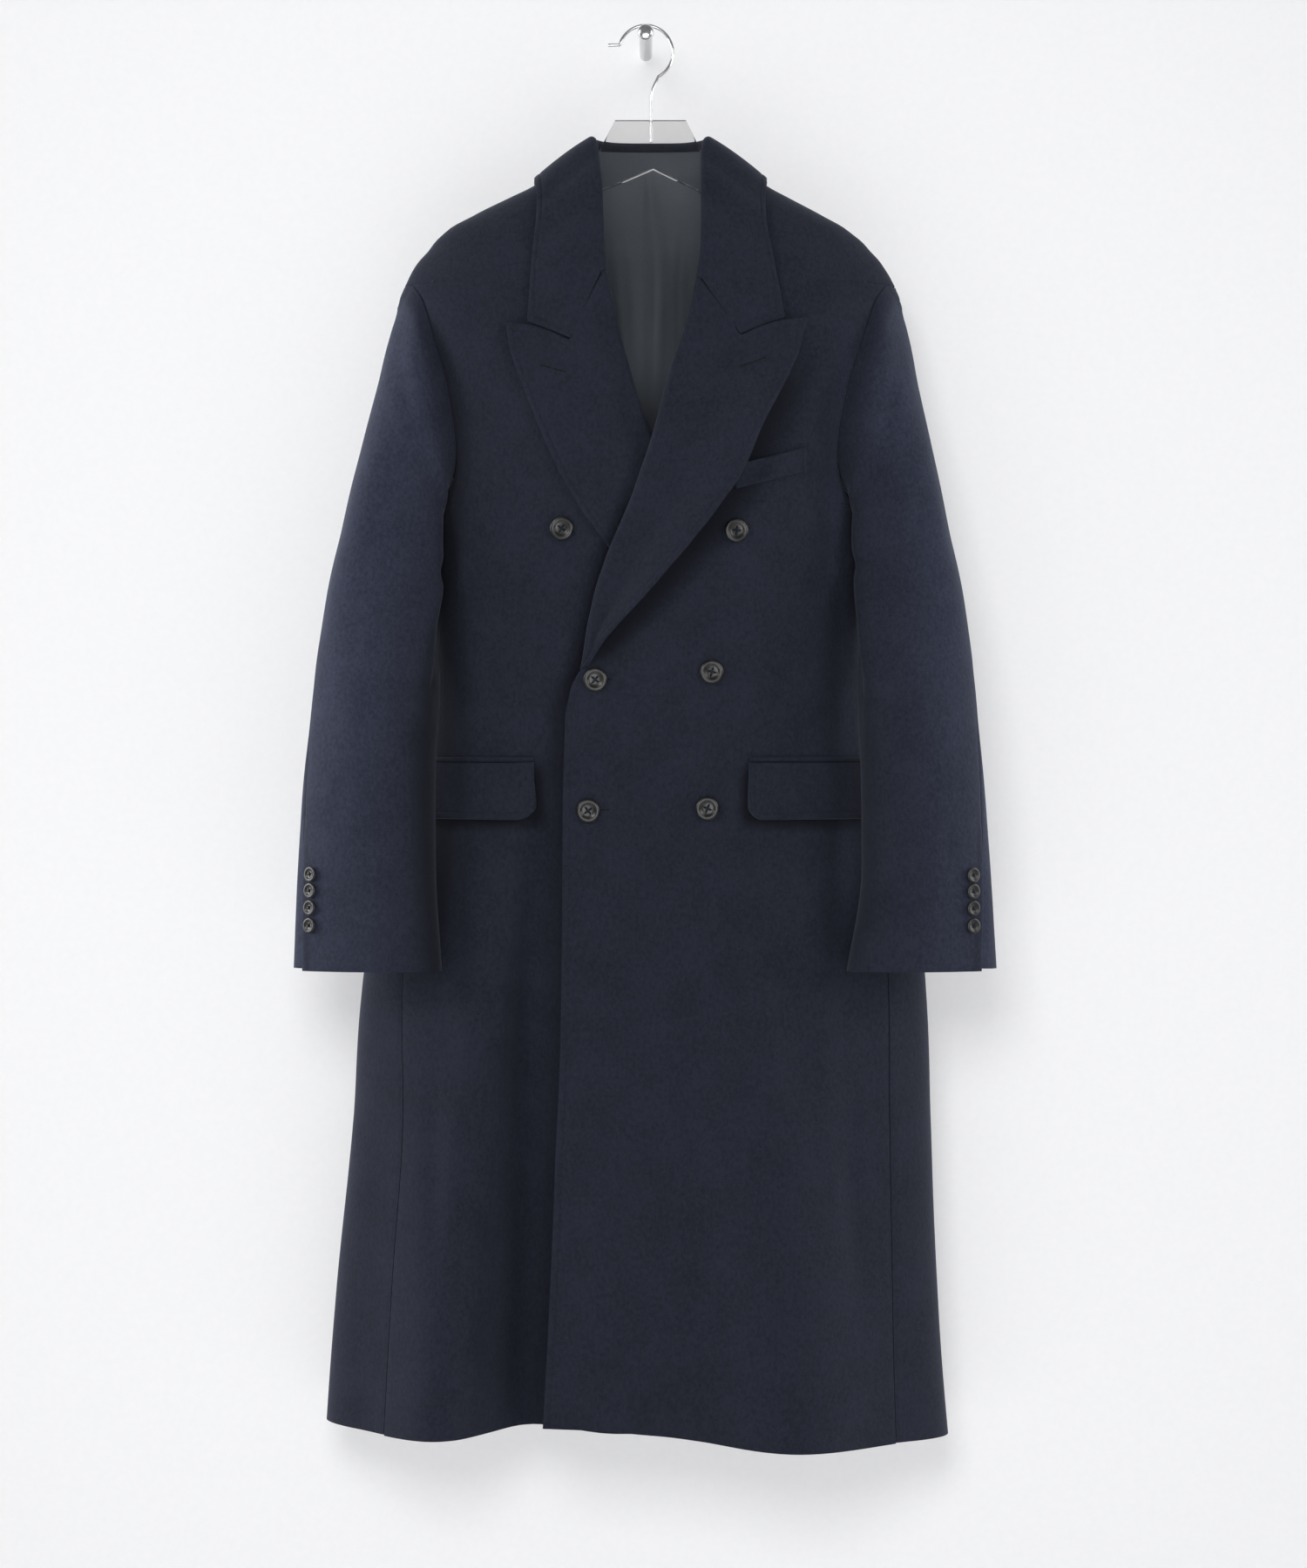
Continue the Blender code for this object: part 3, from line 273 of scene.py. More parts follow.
# Buttons
Button = namedtuple("Button", "side x z spin")
FRONT_BUTTONS = [
    Button("right", -0.0750, -0.4650, 12.0),
    Button("left", 0.0797, -0.4670, 40.0),
    Button("left", -0.0440, -0.6010, 4.0),
    Button("left", 0.0580, -0.5940, 30.0),
    Button("left", -0.0510, -0.7190, -8.0),
    Button("left", 0.0550, -0.7170, 22.0),
]
FRONT_BUTTON_RADIUS = 0.01075
CUFF_BUTTON_RADIUS = 0.0070
CUFF_BUTTON_SHARES = (0.8880, 0.9080, 0.9280, 0.9480)
CUFF_BUTTON_ANGLES = {"right": 48.5, "left": 56.5}
CUFF_BUTTON_SPIN = {"first": 58.0, "step": 13.0}
BUTTON_LIFT = 0.0022

# Hanger and peg
WIRE_RADIUS = 0.0015
HOOK_RADIUS = 0.0249
HOOK_ARC_START = 164.0
HOOK_ARC_END = -62.0
HOOK_TIP = [(-0.0345, -0.0168), (-0.0290, -0.0166)]
HOOK_STEM = [(0.0082, -0.0530), (0.0058, -0.0600), (0.0050, -0.0680), (0.0050, -0.0860), (0.0050, -0.1060)]
PLATE_THICK = 0.008
PLATE_TOP = [(-0.028, -0.086), (0.037, -0.086)]
PLATE_ARCH = 0.007
PLATE_ARCH_Z = -0.131
ARM_TOP = [
    (0.049, -0.119),
    (0.070, -0.139),
    (0.100, -0.155),
    (0.130, -0.170),
    (0.158, -0.187),
    (0.174, -0.203),
]
ARM_END = [(0.177, -0.212), (0.174, -0.221), (0.166, -0.224)]
ARM_BOTTOM = [(0.130, -0.205), (0.100, -0.190), (0.070, -0.171), (0.044, -0.151)]
HANGER_MIDDLE = 0.004
PEG_NECK = 0.0060
PEG_HEAD = 0.0074
PEG_DROP = 0.0003
WALL_Y = 0.092
PEG_HEAD_START = -0.004
PEG_HEAD_END = -0.011

# Creases of the panels, from start to end across X and Z. A trough is positive
Crease = namedtuple("Crease", "face x_start z_start x_end z_end half_width depth wander fade")
CREASES = [
    Crease("right", -0.086, -0.600, -0.110, -1.340, 0.034, 0.0110, 0.002, 0.14),
    Crease("right", 0.010, -0.410, -0.062, -0.650, 0.030, 0.0120, 0.001, 0.25),
    Crease("right", -0.034, -0.245, 0.010, -0.430, 0.022, 0.0070, 0.001, 0.3),
    Crease("right", -0.098, -0.690, -0.118, -1.080, 0.020, 0.0075, 0.002, 0.5),
    Crease("right", -0.150, -0.730, -0.158, -1.150, 0.034, -0.0030, 0.004, 0.5),
    Crease("right", -0.090, -0.440, -0.104, -0.660, 0.030, 0.0022, 0.003, 0.5),
    Crease("right", -0.176, -0.470, -0.120, -0.545, 0.020, 0.0014, 0.003, 0.5),
    Crease("right", -0.186, -0.900, -0.196, -1.200, 0.018, 0.0022, 0.002, 0.5),
    Crease("right", -0.128, -0.250, -0.172, -0.300, 0.020, 0.0014, 0.002, 0.5),
    Crease("left", 0.094, -0.735, 0.106, -1.010, 0.020, -0.0034, 0.002, 0.5),
    Crease("left", 0.050, -0.760, 0.036, -1.130, 0.030, 0.0026, 0.004, 0.5),
    Crease("left", 0.128, -0.770, 0.150, -1.060, 0.026, 0.0026, 0.003, 0.5),
    Crease("left", -0.054, -0.606, -0.060, -0.730, 0.008, 0.0016, 0.001, 0.5),
    Crease("left", 0.186, -0.470, 0.120, -0.560, 0.022, 0.0016, 0.003, 0.5),
    Crease("left", 0.150, -0.590, 0.140, -0.690, 0.014, 0.0014, 0.002, 0.5),
    Crease("left", 0.012, -0.880, -0.004, -1.260, 0.040, -0.0022, 0.004, 0.5),
    Crease("left", 0.184, -0.930, 0.192, -1.230, 0.018, 0.0020, 0.002, 0.5),
    Crease("left hollow", 0.150, -0.300, 0.066, -0.462, 0.026, 0.0060, 0.001, 0.45),
    Crease("left hollow", 0.112, -0.400, -0.040, -0.590, 0.026, 0.0030, 0.001, 0.4),
    Crease("back", -0.172, -0.420, -0.060, -0.520, 0.024, 0.0022, 0.004, 0.5),
    Crease("back", 0.176, -0.430, 0.050, -0.545, 0.026, 0.0024, 0.004, 0.5),
    Crease("back", -0.060, -0.560, -0.086, -0.900, 0.034, 0.0030, 0.004, 0.5),
    Crease("back", 0.074, -0.600, 0.092, -0.980, 0.030, 0.0028, 0.004, 0.5),
    Crease("back", -0.190, -0.620, -0.214, -1.000, 0.030, 0.0026, 0.004, 0.5),
    Crease("back", 0.186, -0.660, 0.210, -1.060, 0.030, -0.0024, 0.004, 0.5),
    Crease("back", -0.030, -0.200, 0.090, -0.232, 0.018, 0.0014, 0.003, 0.5),
    Crease("lining", 0.0130, -0.140, 0.0110, -0.380, 0.011, 0.0032, 0.001, 0.5),
    Crease("lining", 0.0370, -0.150, 0.0300, -0.330, 0.010, -0.0022, 0.001, 0.5),
    Crease("lining", -0.0300, -0.150, -0.0160, -0.360, 0.012, 0.0024, 0.001, 0.5),
    Crease("lining", 0.0080, -0.352, 0.0300, -0.338, 0.007, 0.0030, 0.001, 0.5),
    Crease("lining", 0.0040, -0.372, 0.0260, -0.360, 0.007, 0.0018, 0.001, 0.5),
]

# Creases of the sleeves. Across is the angle round the sleeve, along is the share from armhole to cuff
Dent = namedtuple("Dent", "side angle_start share_start angle_end share_end half_width depth")
DENTS = [
    Dent("right", 168.0, 0.20, 96.0, 0.36, 0.020, 0.0028),
    Dent("right", 172.0, 0.50, 110.0, 0.56, 0.014, 0.0026),
    Dent("right", 176.0, 0.60, 120.0, 0.63, 0.012, 0.0020),
    Dent("right", 60.0, 0.16, 52.0, 0.62, 0.034, -0.0030),
    Dent("right", 106.0, 0.30, 112.0, 0.92, 0.034, 0.0026),
    Dent("right", 84.0, 0.72, 70.0, 0.84, 0.018, 0.0016),
    Dent("right", -70.0, 0.40, -20.0, 0.52, 0.018, 0.0026),
    Dent("right", -80.0, 0.56, -24.0, 0.60, 0.016, 0.0024),
    Dent("right", 250.0, 0.24, 230.0, 0.60, 0.024, 0.0028),
    Dent("left", 166.0, 0.18, 100.0, 0.32, 0.022, 0.0026),
    Dent("left", 174.0, 0.53, 104.0, 0.60, 0.014, 0.0024),
    Dent("left", 58.0, 0.20, 50.0, 0.58, 0.032, -0.0028),
    Dent("left", 100.0, 0.34, 108.0, 0.90, 0.034, 0.0024),
    Dent("left", 88.0, 0.80, 72.0, 0.88, 0.014, 0.0020),
    Dent("left", -66.0, 0.42, -16.0, 0.50, 0.018, 0.0026),
    Dent("left", -76.0, 0.58, -20.0, 0.63, 0.016, 0.0022),
    Dent("left", 252.0, 0.28, 236.0, 0.64, 0.024, 0.0026),
]
SLEEVE_LENGTH = 0.64
SLEEVE_DEGREE = 0.0011


class Curve:
    """A smooth curve through a few points that never overshoots them. Its keys rise."""

    def __init__(self, keys, values):
        self.keys = np.array(keys, dtype=float)
        self.values = np.array(values, dtype=float)
        steps = np.diff(self.keys).reshape(-1, *[1] * (self.values.ndim - 1))
        rises = np.diff(self.values, axis=0) / steps
        before, after = rises[:-1], rises[1:]
        same_way = before * after > 0
        total = np.where(same_way, before + after, 1.0)
        inner = np.where(same_way, 2 * before * after / total, 0.0)
        self.slopes = np.concatenate([rises[:1], inner, rises[-1:]])

    def __call__(self, key):
        key = np.clip(key, self.keys[0], self.keys[-1])
        i = np.clip(np.searchsorted(self.keys, key, side="right") - 1, 0, len(self.keys) - 2)
        step = self.keys[i + 1] - self.keys[i]
        u = (key - self.keys[i]) / step
        start = self.pick(self.values, i) + u * step * self.pick(self.slopes, i)
        end = self.pick(self.values, i + 1) - (1 - u) * step * self.pick(self.slopes, i + 1)
        return start + (end - start) * u * u * (3 - 2 * u)

    @staticmethod
    def pick(table, i):
        return table[i] if table.ndim == 1 else table[i, np.arange(len(i))]


def columns_of(rows, key):
    """A curve for every column of a table, read by the column named key."""
    keys = [getattr(row, key) for row in rows]
    names = [name for name in rows[0]._fields if isinstance(getattr(rows[0], name), float) and name != key]
    return {name: Curve(keys, [getattr(row, name) for row in rows]) for name in names}


def mix(a, b, share):
    return a + (b - a) * share


def ease(start, end, value):
    """0 before start, 1 after end, and a smooth rise between."""
    u = np.clip((value - start) / (end - start), 0.0, 1.0)
    return u * u * (3 - 2 * u)


def hump(distance, half_width):
    """1 in the middle, falling smoothly to 0 at half_width."""
    return np.cos(np.minimum(np.abs(distance) / half_width, 1.0) * np.pi / 2) ** 2


def points_of(x, y, z):
    return np.stack(np.broadcast_arrays(x, y, z), axis=-1).astype(float)


def unit(vectors):
    return vectors / np.maximum(np.linalg.norm(vectors, axis=-1, keepdims=True), 1e-12)


def length(vectors):
    return np.linalg.norm(vectors, axis=-1)


def in_column(values):
    return np.asarray(values)[..., None]


body = columns_of(BODY, "z")
hem = columns_of(HEM, "x")
side_seam = columns_of(SIDE_SEAM, "z")
front_edge = columns_of(FRONT_EDGE, "z")
over_lift = columns_of(OVER_LIFT, "z")
sleeve_seam = columns_of(SLEEVE_SEAMS, "share")


def half_width(x, z):
    return np.where(x < 0, body["right"](z), body["left"](z))


def turn_at(x, z, front=True):
    """Angle of x round the ring at z: 0 is centre front, 90 the left side, 180 centre back."""
    share = np.minimum(np.abs(x) / half_width(x, z), 1.0)
    angle = np.degrees(np.arcsin(share ** ((FRONT_ROUNDNESS if front else BACK_ROUNDNESS) / 2)))
    return np.copysign(angle if front else 180 - angle, x)


def fold_depth(face, x, z):
    depth = 0.0
    for fold in FOLDS:
        if fold.face != face:
            continue
        middle = mix(fold.x_top, fold.x_hem, (z - fold.z_top) / (HEM_LEVEL - fold.z_top))
        depth = depth + fold.depth * ease(fold.z_top, HEM_LEVEL, z) * hump(x - middle, fold.half_width)
    return depth


def crease_depth(face, x, z):
    depth = np.zeros(np.shape(x))
    for crease in CREASES:
        if crease.face != face:
            continue
        run_x = crease.x_end - crease.x_start
        run_z = crease.z_end - crease.z_start
        run = math.hypot(run_x, run_z)
        along = ((x - crease.x_start) * run_x + (z - crease.z_start) * run_z) / run**2
        off = ((x - crease.x_start) * run_z - (z - crease.z_start) * run_x) / run
        off = off + crease.wander * np.sin(6 * along + 50 * crease.x_start)
        fade = ease(0.0, crease.fade, along) * ease(0.0, crease.fade, 1 - along)
        depth += crease.depth * fade * hump(off, crease.half_width)
    return depth


def bare_point(turn, z, under=False):
    """Point of the body's outer face, with its folds."""
    swing = np.sin(np.radians(turn))
    reach = np.cos(np.radians(turn))
    front = reach >= 0
    power = 2 / np.where(front, FRONT_ROUNDNESS, BACK_ROUNDNESS)
    x = np.copysign(half_width(swing, z) * np.abs(swing) ** power, swing)
    side = body["side"](z)
    depth = (np.where(front, body["front"](z), body["back"](z)) - side) * np.abs(reach) ** power
    settle = ease(0.0, 0.55, np.abs(reach))
    depth = depth + settle * np.where(front, fold_depth("front", x, z), fold_depth("back", x, z))
    if under:
        depth = depth + settle * fold_depth("under", x, z)
    return points_of(x, side + depth, z)


def body_point(turn, z, lift=0.0, under=False):
    """A point moved out from the body's face by lift."""
    step = 0.4
    rise = 0.001
    around = bare_point(turn + step, z, under) - bare_point(turn - step, z, under)
    up = bare_point(turn, z + rise, under) - bare_point(turn, z - rise, under)
    return bare_point(turn, z, under) + unit(np.cross(around, up)) * in_column(lift)


def over_front_lift(x, z):
    return over_lift["lift"](z) * (1 - ease(OVER_LIFT_FULL_X, OVER_LIFT_END_X, x))


def front_point(side, x, z, lift=0.0):
    """A point on one front panel's outer face, moved out by lift."""
    lift = lift - crease_depth(side, x, z) - crease_depth(side + " hollow", x, z)
    if side == "left":
        return body_point(turn_at(x, z), z, lift + over_front_lift(x, z))
    return body_point(turn_at(x, z), z, lift, under=True)


def row_height(down):
    """Height of a panel's row, from 0 at the neck to 1 at the hem, crowded at the armhole's ends."""
    ends = np.cumsum([0] + [stretch.rows for stretch in STRETCHES])
    row = down * ends[-1]
    height = np.full(np.shape(down), HEM_LEVEL)
    for stretch, start, end in zip(STRETCHES, ends, ends[1:]):
        share = (row - start) / stretch.rows
        if stretch.top == SHOULDER_TIP:
            share = (1 - np.cos(np.clip(share, 0, 1) * np.pi)) / 2
        inside = (row > start - 1e-6) & (row <= end + 1e-6)
        height = np.where(inside, mix(stretch.top, stretch.bottom, share), height)
    return height


def pace(turn, z):
    """Metres along the ring for each degree."""
    step = 0.5
    return length(bare_point(turn + step, z) - bare_point(turn - step, z)) / (2 * step)


def seam_gap(turn, z):
    """Angle of half a seam's gap along the ring, wider at the ridge, where walls lean together."""
    gap = mix(RIDGE_GAP, SEAM_GAP, ease(0.55, 0.95, np.abs(np.cos(np.radians(turn)))))
    return gap / pace(turn, z)


def to_hem(z, hem_z):
    """A row's height eased so that the last row lies on the hem."""
    share = np.maximum(0.0, (HEM_BLEND_TOP - z) / (HEM_BLEND_TOP - HEM_LEVEL))
    return z + share * (hem_z - HEM_LEVEL)


def armhole_share(face, reach):
    """Armhole edge as a share of the half width. Reach is 1 at the shoulder tip, -1 at the underarm."""
    power = np.where(reach > 0, ARMHOLE_ROUNDNESS["upper"], ARMHOLE_ROUNDNESS["lower"])
    cut = np.maximum(0.0, 1 - np.minimum(np.abs(reach), 1.0) ** power) ** (1 / power)
    return 1 - ARMHOLE_CUT[face] * cut


def outer_turn(side, face, z):
    """Angle of a panel's outer edge: shoulder seam, armhole and side seam."""
    sign = SIGN[side]
    width = body[side](z)
    middle = (SHOULDER_TIP + UNDERARM) / 2
    reach = np.clip((z - middle) / (SHOULDER_TIP - middle), -1, 1)
    share = np.where(z >= SHOULDER_TIP, 1.0, armhole_share(face, reach))
    above = turn_at(sign * width * share, z, face == "front")
    below = turn_at(sign * width * side_seam[side](z), z)
    return np.where(z > UNDERARM, above, below)


def armhole_height(angle):
    middle = (SHOULDER_TIP + UNDERARM) / 2
    return middle + (SHOULDER_TIP - middle) * np.cos(np.radians(angle))


def armhole_point(side, angle):
    """Point of the armhole's edge: 0 is the shoulder tip, 90 the front and 180 the underarm."""
    reach = np.cos(np.radians(angle))
    z = armhole_height(angle)
    front = np.sin(np.radians(angle)) >= 0
    share = np.where(front, armhole_share("front", reach), armhole_share("back", reach))
    x = SIGN[side] * body[side](z) * share
    turn = np.where(front, turn_at(x, z, True), turn_at(x, z, False))
    return bare_point(turn, z)


# Distances of a panel's columns from its edges, close enough to carry a stitched edge
EDGE_STEPS = np.array([0.0, 0.0007, 0.0018, 0.0034, 0.0048, 0.0058, 0.0068, 0.0082, 0.0105, 0.0140])
STITCH_LINE = 0.0060
STITCH_DEPTH = 0.0004
STITCH_REACH = 0.0011
STITCH_LENGTH = 0.0062
EDGE_SWELL = 0.0003
EDGE_SWELL_AT = 0.003
EDGE_SWELL_REACH = 0.0022
SEAM_DEPTH = 0.0011
SEAM_REACH = 0.0045
SHOULDER_DIP = 0.35
SIDE_DIP = 0.3
TUCK = 0.0075
TUCK_DEPTH = 0.0036
SHOULDER_TUCK = 0.0050
ARM_CREASE = {"front": 0.0065, "back": 0.0040}
ARM_CREASE_REACH = 0.013
ARM_SWELL = 0.0040
SHARP_EDGE = 55.0
RIM = {"cloth": 0.0007, "leaf": 0.0009, "thin": 0.0003}
FAR = 1.0
PANEL_BANDS = ("chest", "waist", "hip", "skirt")
SLEEVE_BANDS = ("upper", "elbow", "cuff")

Sheet = namedtuple("Sheet", "piece area")
pieces = {}


def finished(name, mesh, nodes, material):
    """Puts a finished mesh in the scene as a piece that stands for its nodes."""
    piece = bpy.data.objects.new(name, mesh)
    mesh.materials.clear()
    mesh.materials.append(material)
    bpy.context.scene.collection.objects.link(piece)
    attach(piece, "root")
    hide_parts(*nodes)
    pieces[name] = piece
    return piece


def cloth(name, nodes, counts, place, thick, offset=-1.0, slot="wool", even=True, rim="cloth"):
    """A grid laid out by place(across, down), then given its thickness and soft edges."""
    sheet = bmesh.new()
    bmesh.ops.create_grid(sheet, x_segments=counts[0], y_segments=counts[1], size=0.5)
    flat = np.array([vert.co[:2] for vert in sheet.verts])
    points, edge, run, *raised = place(flat[:, 0] + 0.5, 0.5 - flat[:, 1])
    # An optional fourth value is painted light and shade, kept with the cloth as an attribute.
    nap = raised[0] if raised else 0.0
    for vert, point in zip(sheet.verts, points):
        vert.co = point
    for face in sheet.faces:
        face.smooth = True
    area = sum(face.calc_area() for face in sheet.faces)
    mesh = bpy.data.meshes.new(name)
    sheet.to_mesh(mesh)
    sheet.free()
    for label, values in (("edge_gap", edge), ("edge_run", run), ("painted_light_and_shade", nap)):
        attribute = mesh.attributes.new(label, "FLOAT", "POINT")
        attribute.data.foreach_set("value", np.broadcast_to(values, len(points)).copy())
    piece = finished(name, mesh, nodes, materials[slot])
    solid = piece.modifiers.new("thickness", "SOLIDIFY")
    solid.thickness = thick
    solid.offset = offset
    solid.use_even_offset = even
    solid.use_quality_normals = True
    soft = piece.modifiers.new("soft edges", "BEVEL")
    soft.limit_method = "ANGLE"
    soft.angle_limit = math.radians(SHARP_EDGE)
    soft.width = RIM[rim]
    soft.segments = 2
    soft.use_clamp_overlap = True
    return piece


def bands(node, names):
    """A long panel's nodes, which lie end to end."""
    return [f"{node}_{name}" for name in names]


def spread(across, count, start, end, z):
    """Angles of a panel's columns from start to end, crowded at both edges."""
    index = np.rint(across * count).astype(int)
    last = len(EDGE_STEPS) - 1
    way = np.sign(end - start)
    start_pace = pace(start, z)
    end_pace = pace(end, z)
    reach = np.minimum(1.0, 0.3 * np.abs(end - start) * np.minimum(start_pace, end_pace) / EDGE_STEPS[-1])
    from_start = start + way * EDGE_STEPS[np.clip(index, 0, last)] * reach / start_pace
    from_end = end - way * EDGE_STEPS[np.clip(count - index, 0, last)] * reach / end_pace
    inner_start = start + way * EDGE_STEPS[-1] * reach / start_pace
    inner_end = end - way * EDGE_STEPS[-1] * reach / end_pace
    middle = mix(inner_start, inner_end, (index - last) / (count - 2 * last))
    return np.where(index <= last, from_start, np.where(index >= count - last, from_end, middle))


def seam_dip(distance, z=UNDERARM):
    """How far cloth sinks towards its seam, which is less on the shoulder and down the sides."""
    depth = SEAM_DEPTH * mix(1.0, SHOULDER_DIP, ease(SHOULDER_TIP - 0.020, SHOULDER_TIP, z))
    depth = depth * mix(SIDE_DIP, 1.0, ease(UNDERARM - 0.040, UNDERARM, z))
    return depth * np.exp(-((distance / SEAM_REACH) ** 2) * 2)


def armhole_tuck(z):
    """How far a panel runs on under the sleeve at the armhole."""
    return TUCK * ease(UNDERARM, UNDERARM + 0.006, z) * ease(-SHOULDER_TIP - 0.002, -SHOULDER_TIP + 0.025, -z)


def shoulder_tuck(z):
    """How far a back panel runs on under the front at the shoulder seam."""
    return SHOULDER_TUCK * ease(SHOULDER_TIP, SHOULDER_TIP + 0.008, z)


def armhole_share_down(z):
    """1 along the upright part of the armhole, falling to 0 at the shoulder tip and the underarm."""
    below_tip = ease(-SHOULDER_TIP + 0.005, -SHOULDER_TIP + 0.070, -z)
    return below_tip * ease(UNDERARM + 0.003, UNDERARM + 0.035, z)


def armhole_crease(face, z, distance):
    """How far cloth draws back along Y on both sides of the armhole seam."""
    way = 1 if face == "front" else -1
    return way * ARM_CREASE[face] * armhole_share_down(z) * np.exp(-((distance / ARM_CREASE_REACH) ** 2))


def edge_swell(distance):
    """A turned edge: a soft swell as far as its row of stitches, which pulls the cloth in."""
    swell = EDGE_SWELL * np.exp(-(((distance - EDGE_SWELL_AT) / EDGE_SWELL_REACH) ** 2))
    return swell - STITCH_DEPTH * np.exp(-(((distance - STITCH_LINE) / STITCH_REACH) ** 2))


# Front panels. Painted shade darkens them below the flaps, beside the left lapel, beside the over-front's edge
# and beside the right sleeve, and painted light lightens them beside the left sleeve
FRONT_COUNTS = (72, 236)
LAPEL_PAINTED_SHADE = 1.0
LAPEL_PAINTED_SHADE_REACH = 0.026
LAPEL_SLANT = 0.77
UNDER_EDGE_PAINTED_SHADE = 0.5
UNDER_EDGE_REACH = 0.024
FLAP_PAINTED_SHADE = 0.9
FLAP_PAINTED_SHADE_REACH = 0.013
SleeveSide = namedtuple("SleeveSide", "z x")
SLEEVE_SIDE = [
    SleeveSide(-0.82, 0.187),
    SleeveSide(-0.60, 0.187),
    SleeveSide(-0.54, 0.1875),
    SleeveSide(-0.47, 0.178),
    SleeveSide(-0.41, 0.177),
    SleeveSide(-0.30, 0.1925),
]
SLEEVE_SIDE_PAINTED_SHADING = {"right": 0.75, "left": -0.45}
SLEEVE_SIDE_REACH = 0.020
sleeve_side = columns_of(SLEEVE_SIDE, "z")["x"]


# Painted shade on the right front beside its sleeve, painted light on the left front beside its sleeve.
def painted_tone_by_sleeve(side, x, z):
    near = 1 - ease(0.002, SLEEVE_SIDE_REACH, sleeve_side(z) - np.abs(x))
    return SLEEVE_SIDE_PAINTED_SHADING[side] * near * ease(-0.86, -0.78, z) * (1 - ease(-0.320, -0.270, z))


# Painted shade on the under-front beside the over-front's edge.
def painted_shade_by_over_front(x, z):
    before = front_edge["left"](z) - x
    near = (1 - ease(0.004, UNDER_EDGE_REACH, before)) * ease(-0.010, 0.0, before)
    near = near * mix(0.5, 1.0, ease(-0.85, -0.68, z))
    return UNDER_EDGE_PAINTED_SHADE * near * (1 - ease(-0.420, -0.360, z))


# Painted shade on the left front beside the left lapel's edge.
def painted_shade_by_lapel(x, z):
    rows = LAPELS["left"]
    edge = Curve([row.edge_z for row in rows], [row.edge_x for row in rows])
    past = (x - edge(z)) * LAPEL_SLANT
    near = ease(-0.006, 0.0, past) * (1 - ease(0.004, LAPEL_PAINTED_SHADE_REACH, past))
    return LAPEL_PAINTED_SHADE * near * ease(-0.598, -0.570, z) * (1 - ease(-0.360, -0.290, z))


# Painted shade just below a pocket flap, fading out past its front end.
def painted_shade_by_flap(flap, x, z):
    below = flap.top_z - flap.drop - z
    past_end = np.abs(flap.front_x) - np.abs(x)
    near = (1 - ease(0.001, FLAP_PAINTED_SHADE_REACH, below)) * (1 - ease(0.0, FLAP_PAINTED_SHADE_REACH, past_end))
    return FLAP_PAINTED_SHADE * near * ease(0.0, 0.010, flap.top_z - z)


def front_painted_light_shade(side, x, z):
    """Painted light and shade of a front panel: negative where painted shade darkens it, positive where
    painted light lightens it.
    """
    pressed = painted_tone_by_sleeve(side, x, z)
    pressed = pressed + (painted_shade_by_over_front(x, z) if side == "right" else painted_shade_by_lapel(x, z))
    for flap in FLAPS:
        if flap.side == side:
            pressed = pressed + painted_shade_by_flap(flap, x, z)
    return -np.minimum(pressed, 1.0)


def front_place(side):
    over = side == "left"

    def place(across, down):
        z = row_height(down)
        inner = turn_at(front_edge[side](z), z)
        outer = outer_turn(side, "front", z)
        outer = outer - SIGN[side] * seam_gap(outer, z)
        tuck = armhole_tuck(z)
        end = outer + SIGN[side] * tuck / pace(outer, z)
        ends = (inner, end) if over else (end, inner)
        turn = spread(across, FRONT_COUNTS[0], *ends, z)
        bare = bare_point(turn, z)
        to_edge = length(bare - bare_point(inner, z))
        to_seam = length(bare - bare_point(outer, z))
        sunk = TUCK_DEPTH * ease(0.0, 0.0030, SIGN[side] * (turn - outer) * pace(outer, z)) * (tuck > 0)
        crease = armhole_crease("front", z, to_seam)
        x = bare[:, 0]
        z = to_hem(z, hem["over" if over else "under"](x))
        lift = over_front_lift(x, z) if over else 0.0
        free = 1 - ease(LAPEL_BREAK - 0.022, LAPEL_BREAK - 0.006, z)
        lift = lift - crease_depth(side, x, z) - crease_depth(side + " hollow", x, z)
        lift = lift + edge_swell(to_edge) * free - seam_dip(to_seam, z) - sunk
        points = body_point(turn, z, lift, under=not over) + points_of(0.0, crease, 0.0)
        # The last value is the panel's painted light and shade.
        return points, np.where(free > 0.5, to_edge, FAR), z, front_painted_light_shade(side, x, z)

    return place


def make_fronts():
    for side in SIGN:
        cloth(f"{side}_front", bands(f"front_{side}", PANEL_BANDS), FRONT_COUNTS, front_place(side), CLOTH)


# Back panels, with a centre vent whose left edge runs under the right
VENT_DROP_TOP = -0.72
VENT_TOP = -0.805
VENT_FULL = -0.86
VENT_UNDERLAP = 4.7
VENT_DROP = 0.0046
BACK_COUNTS = (64, 236)


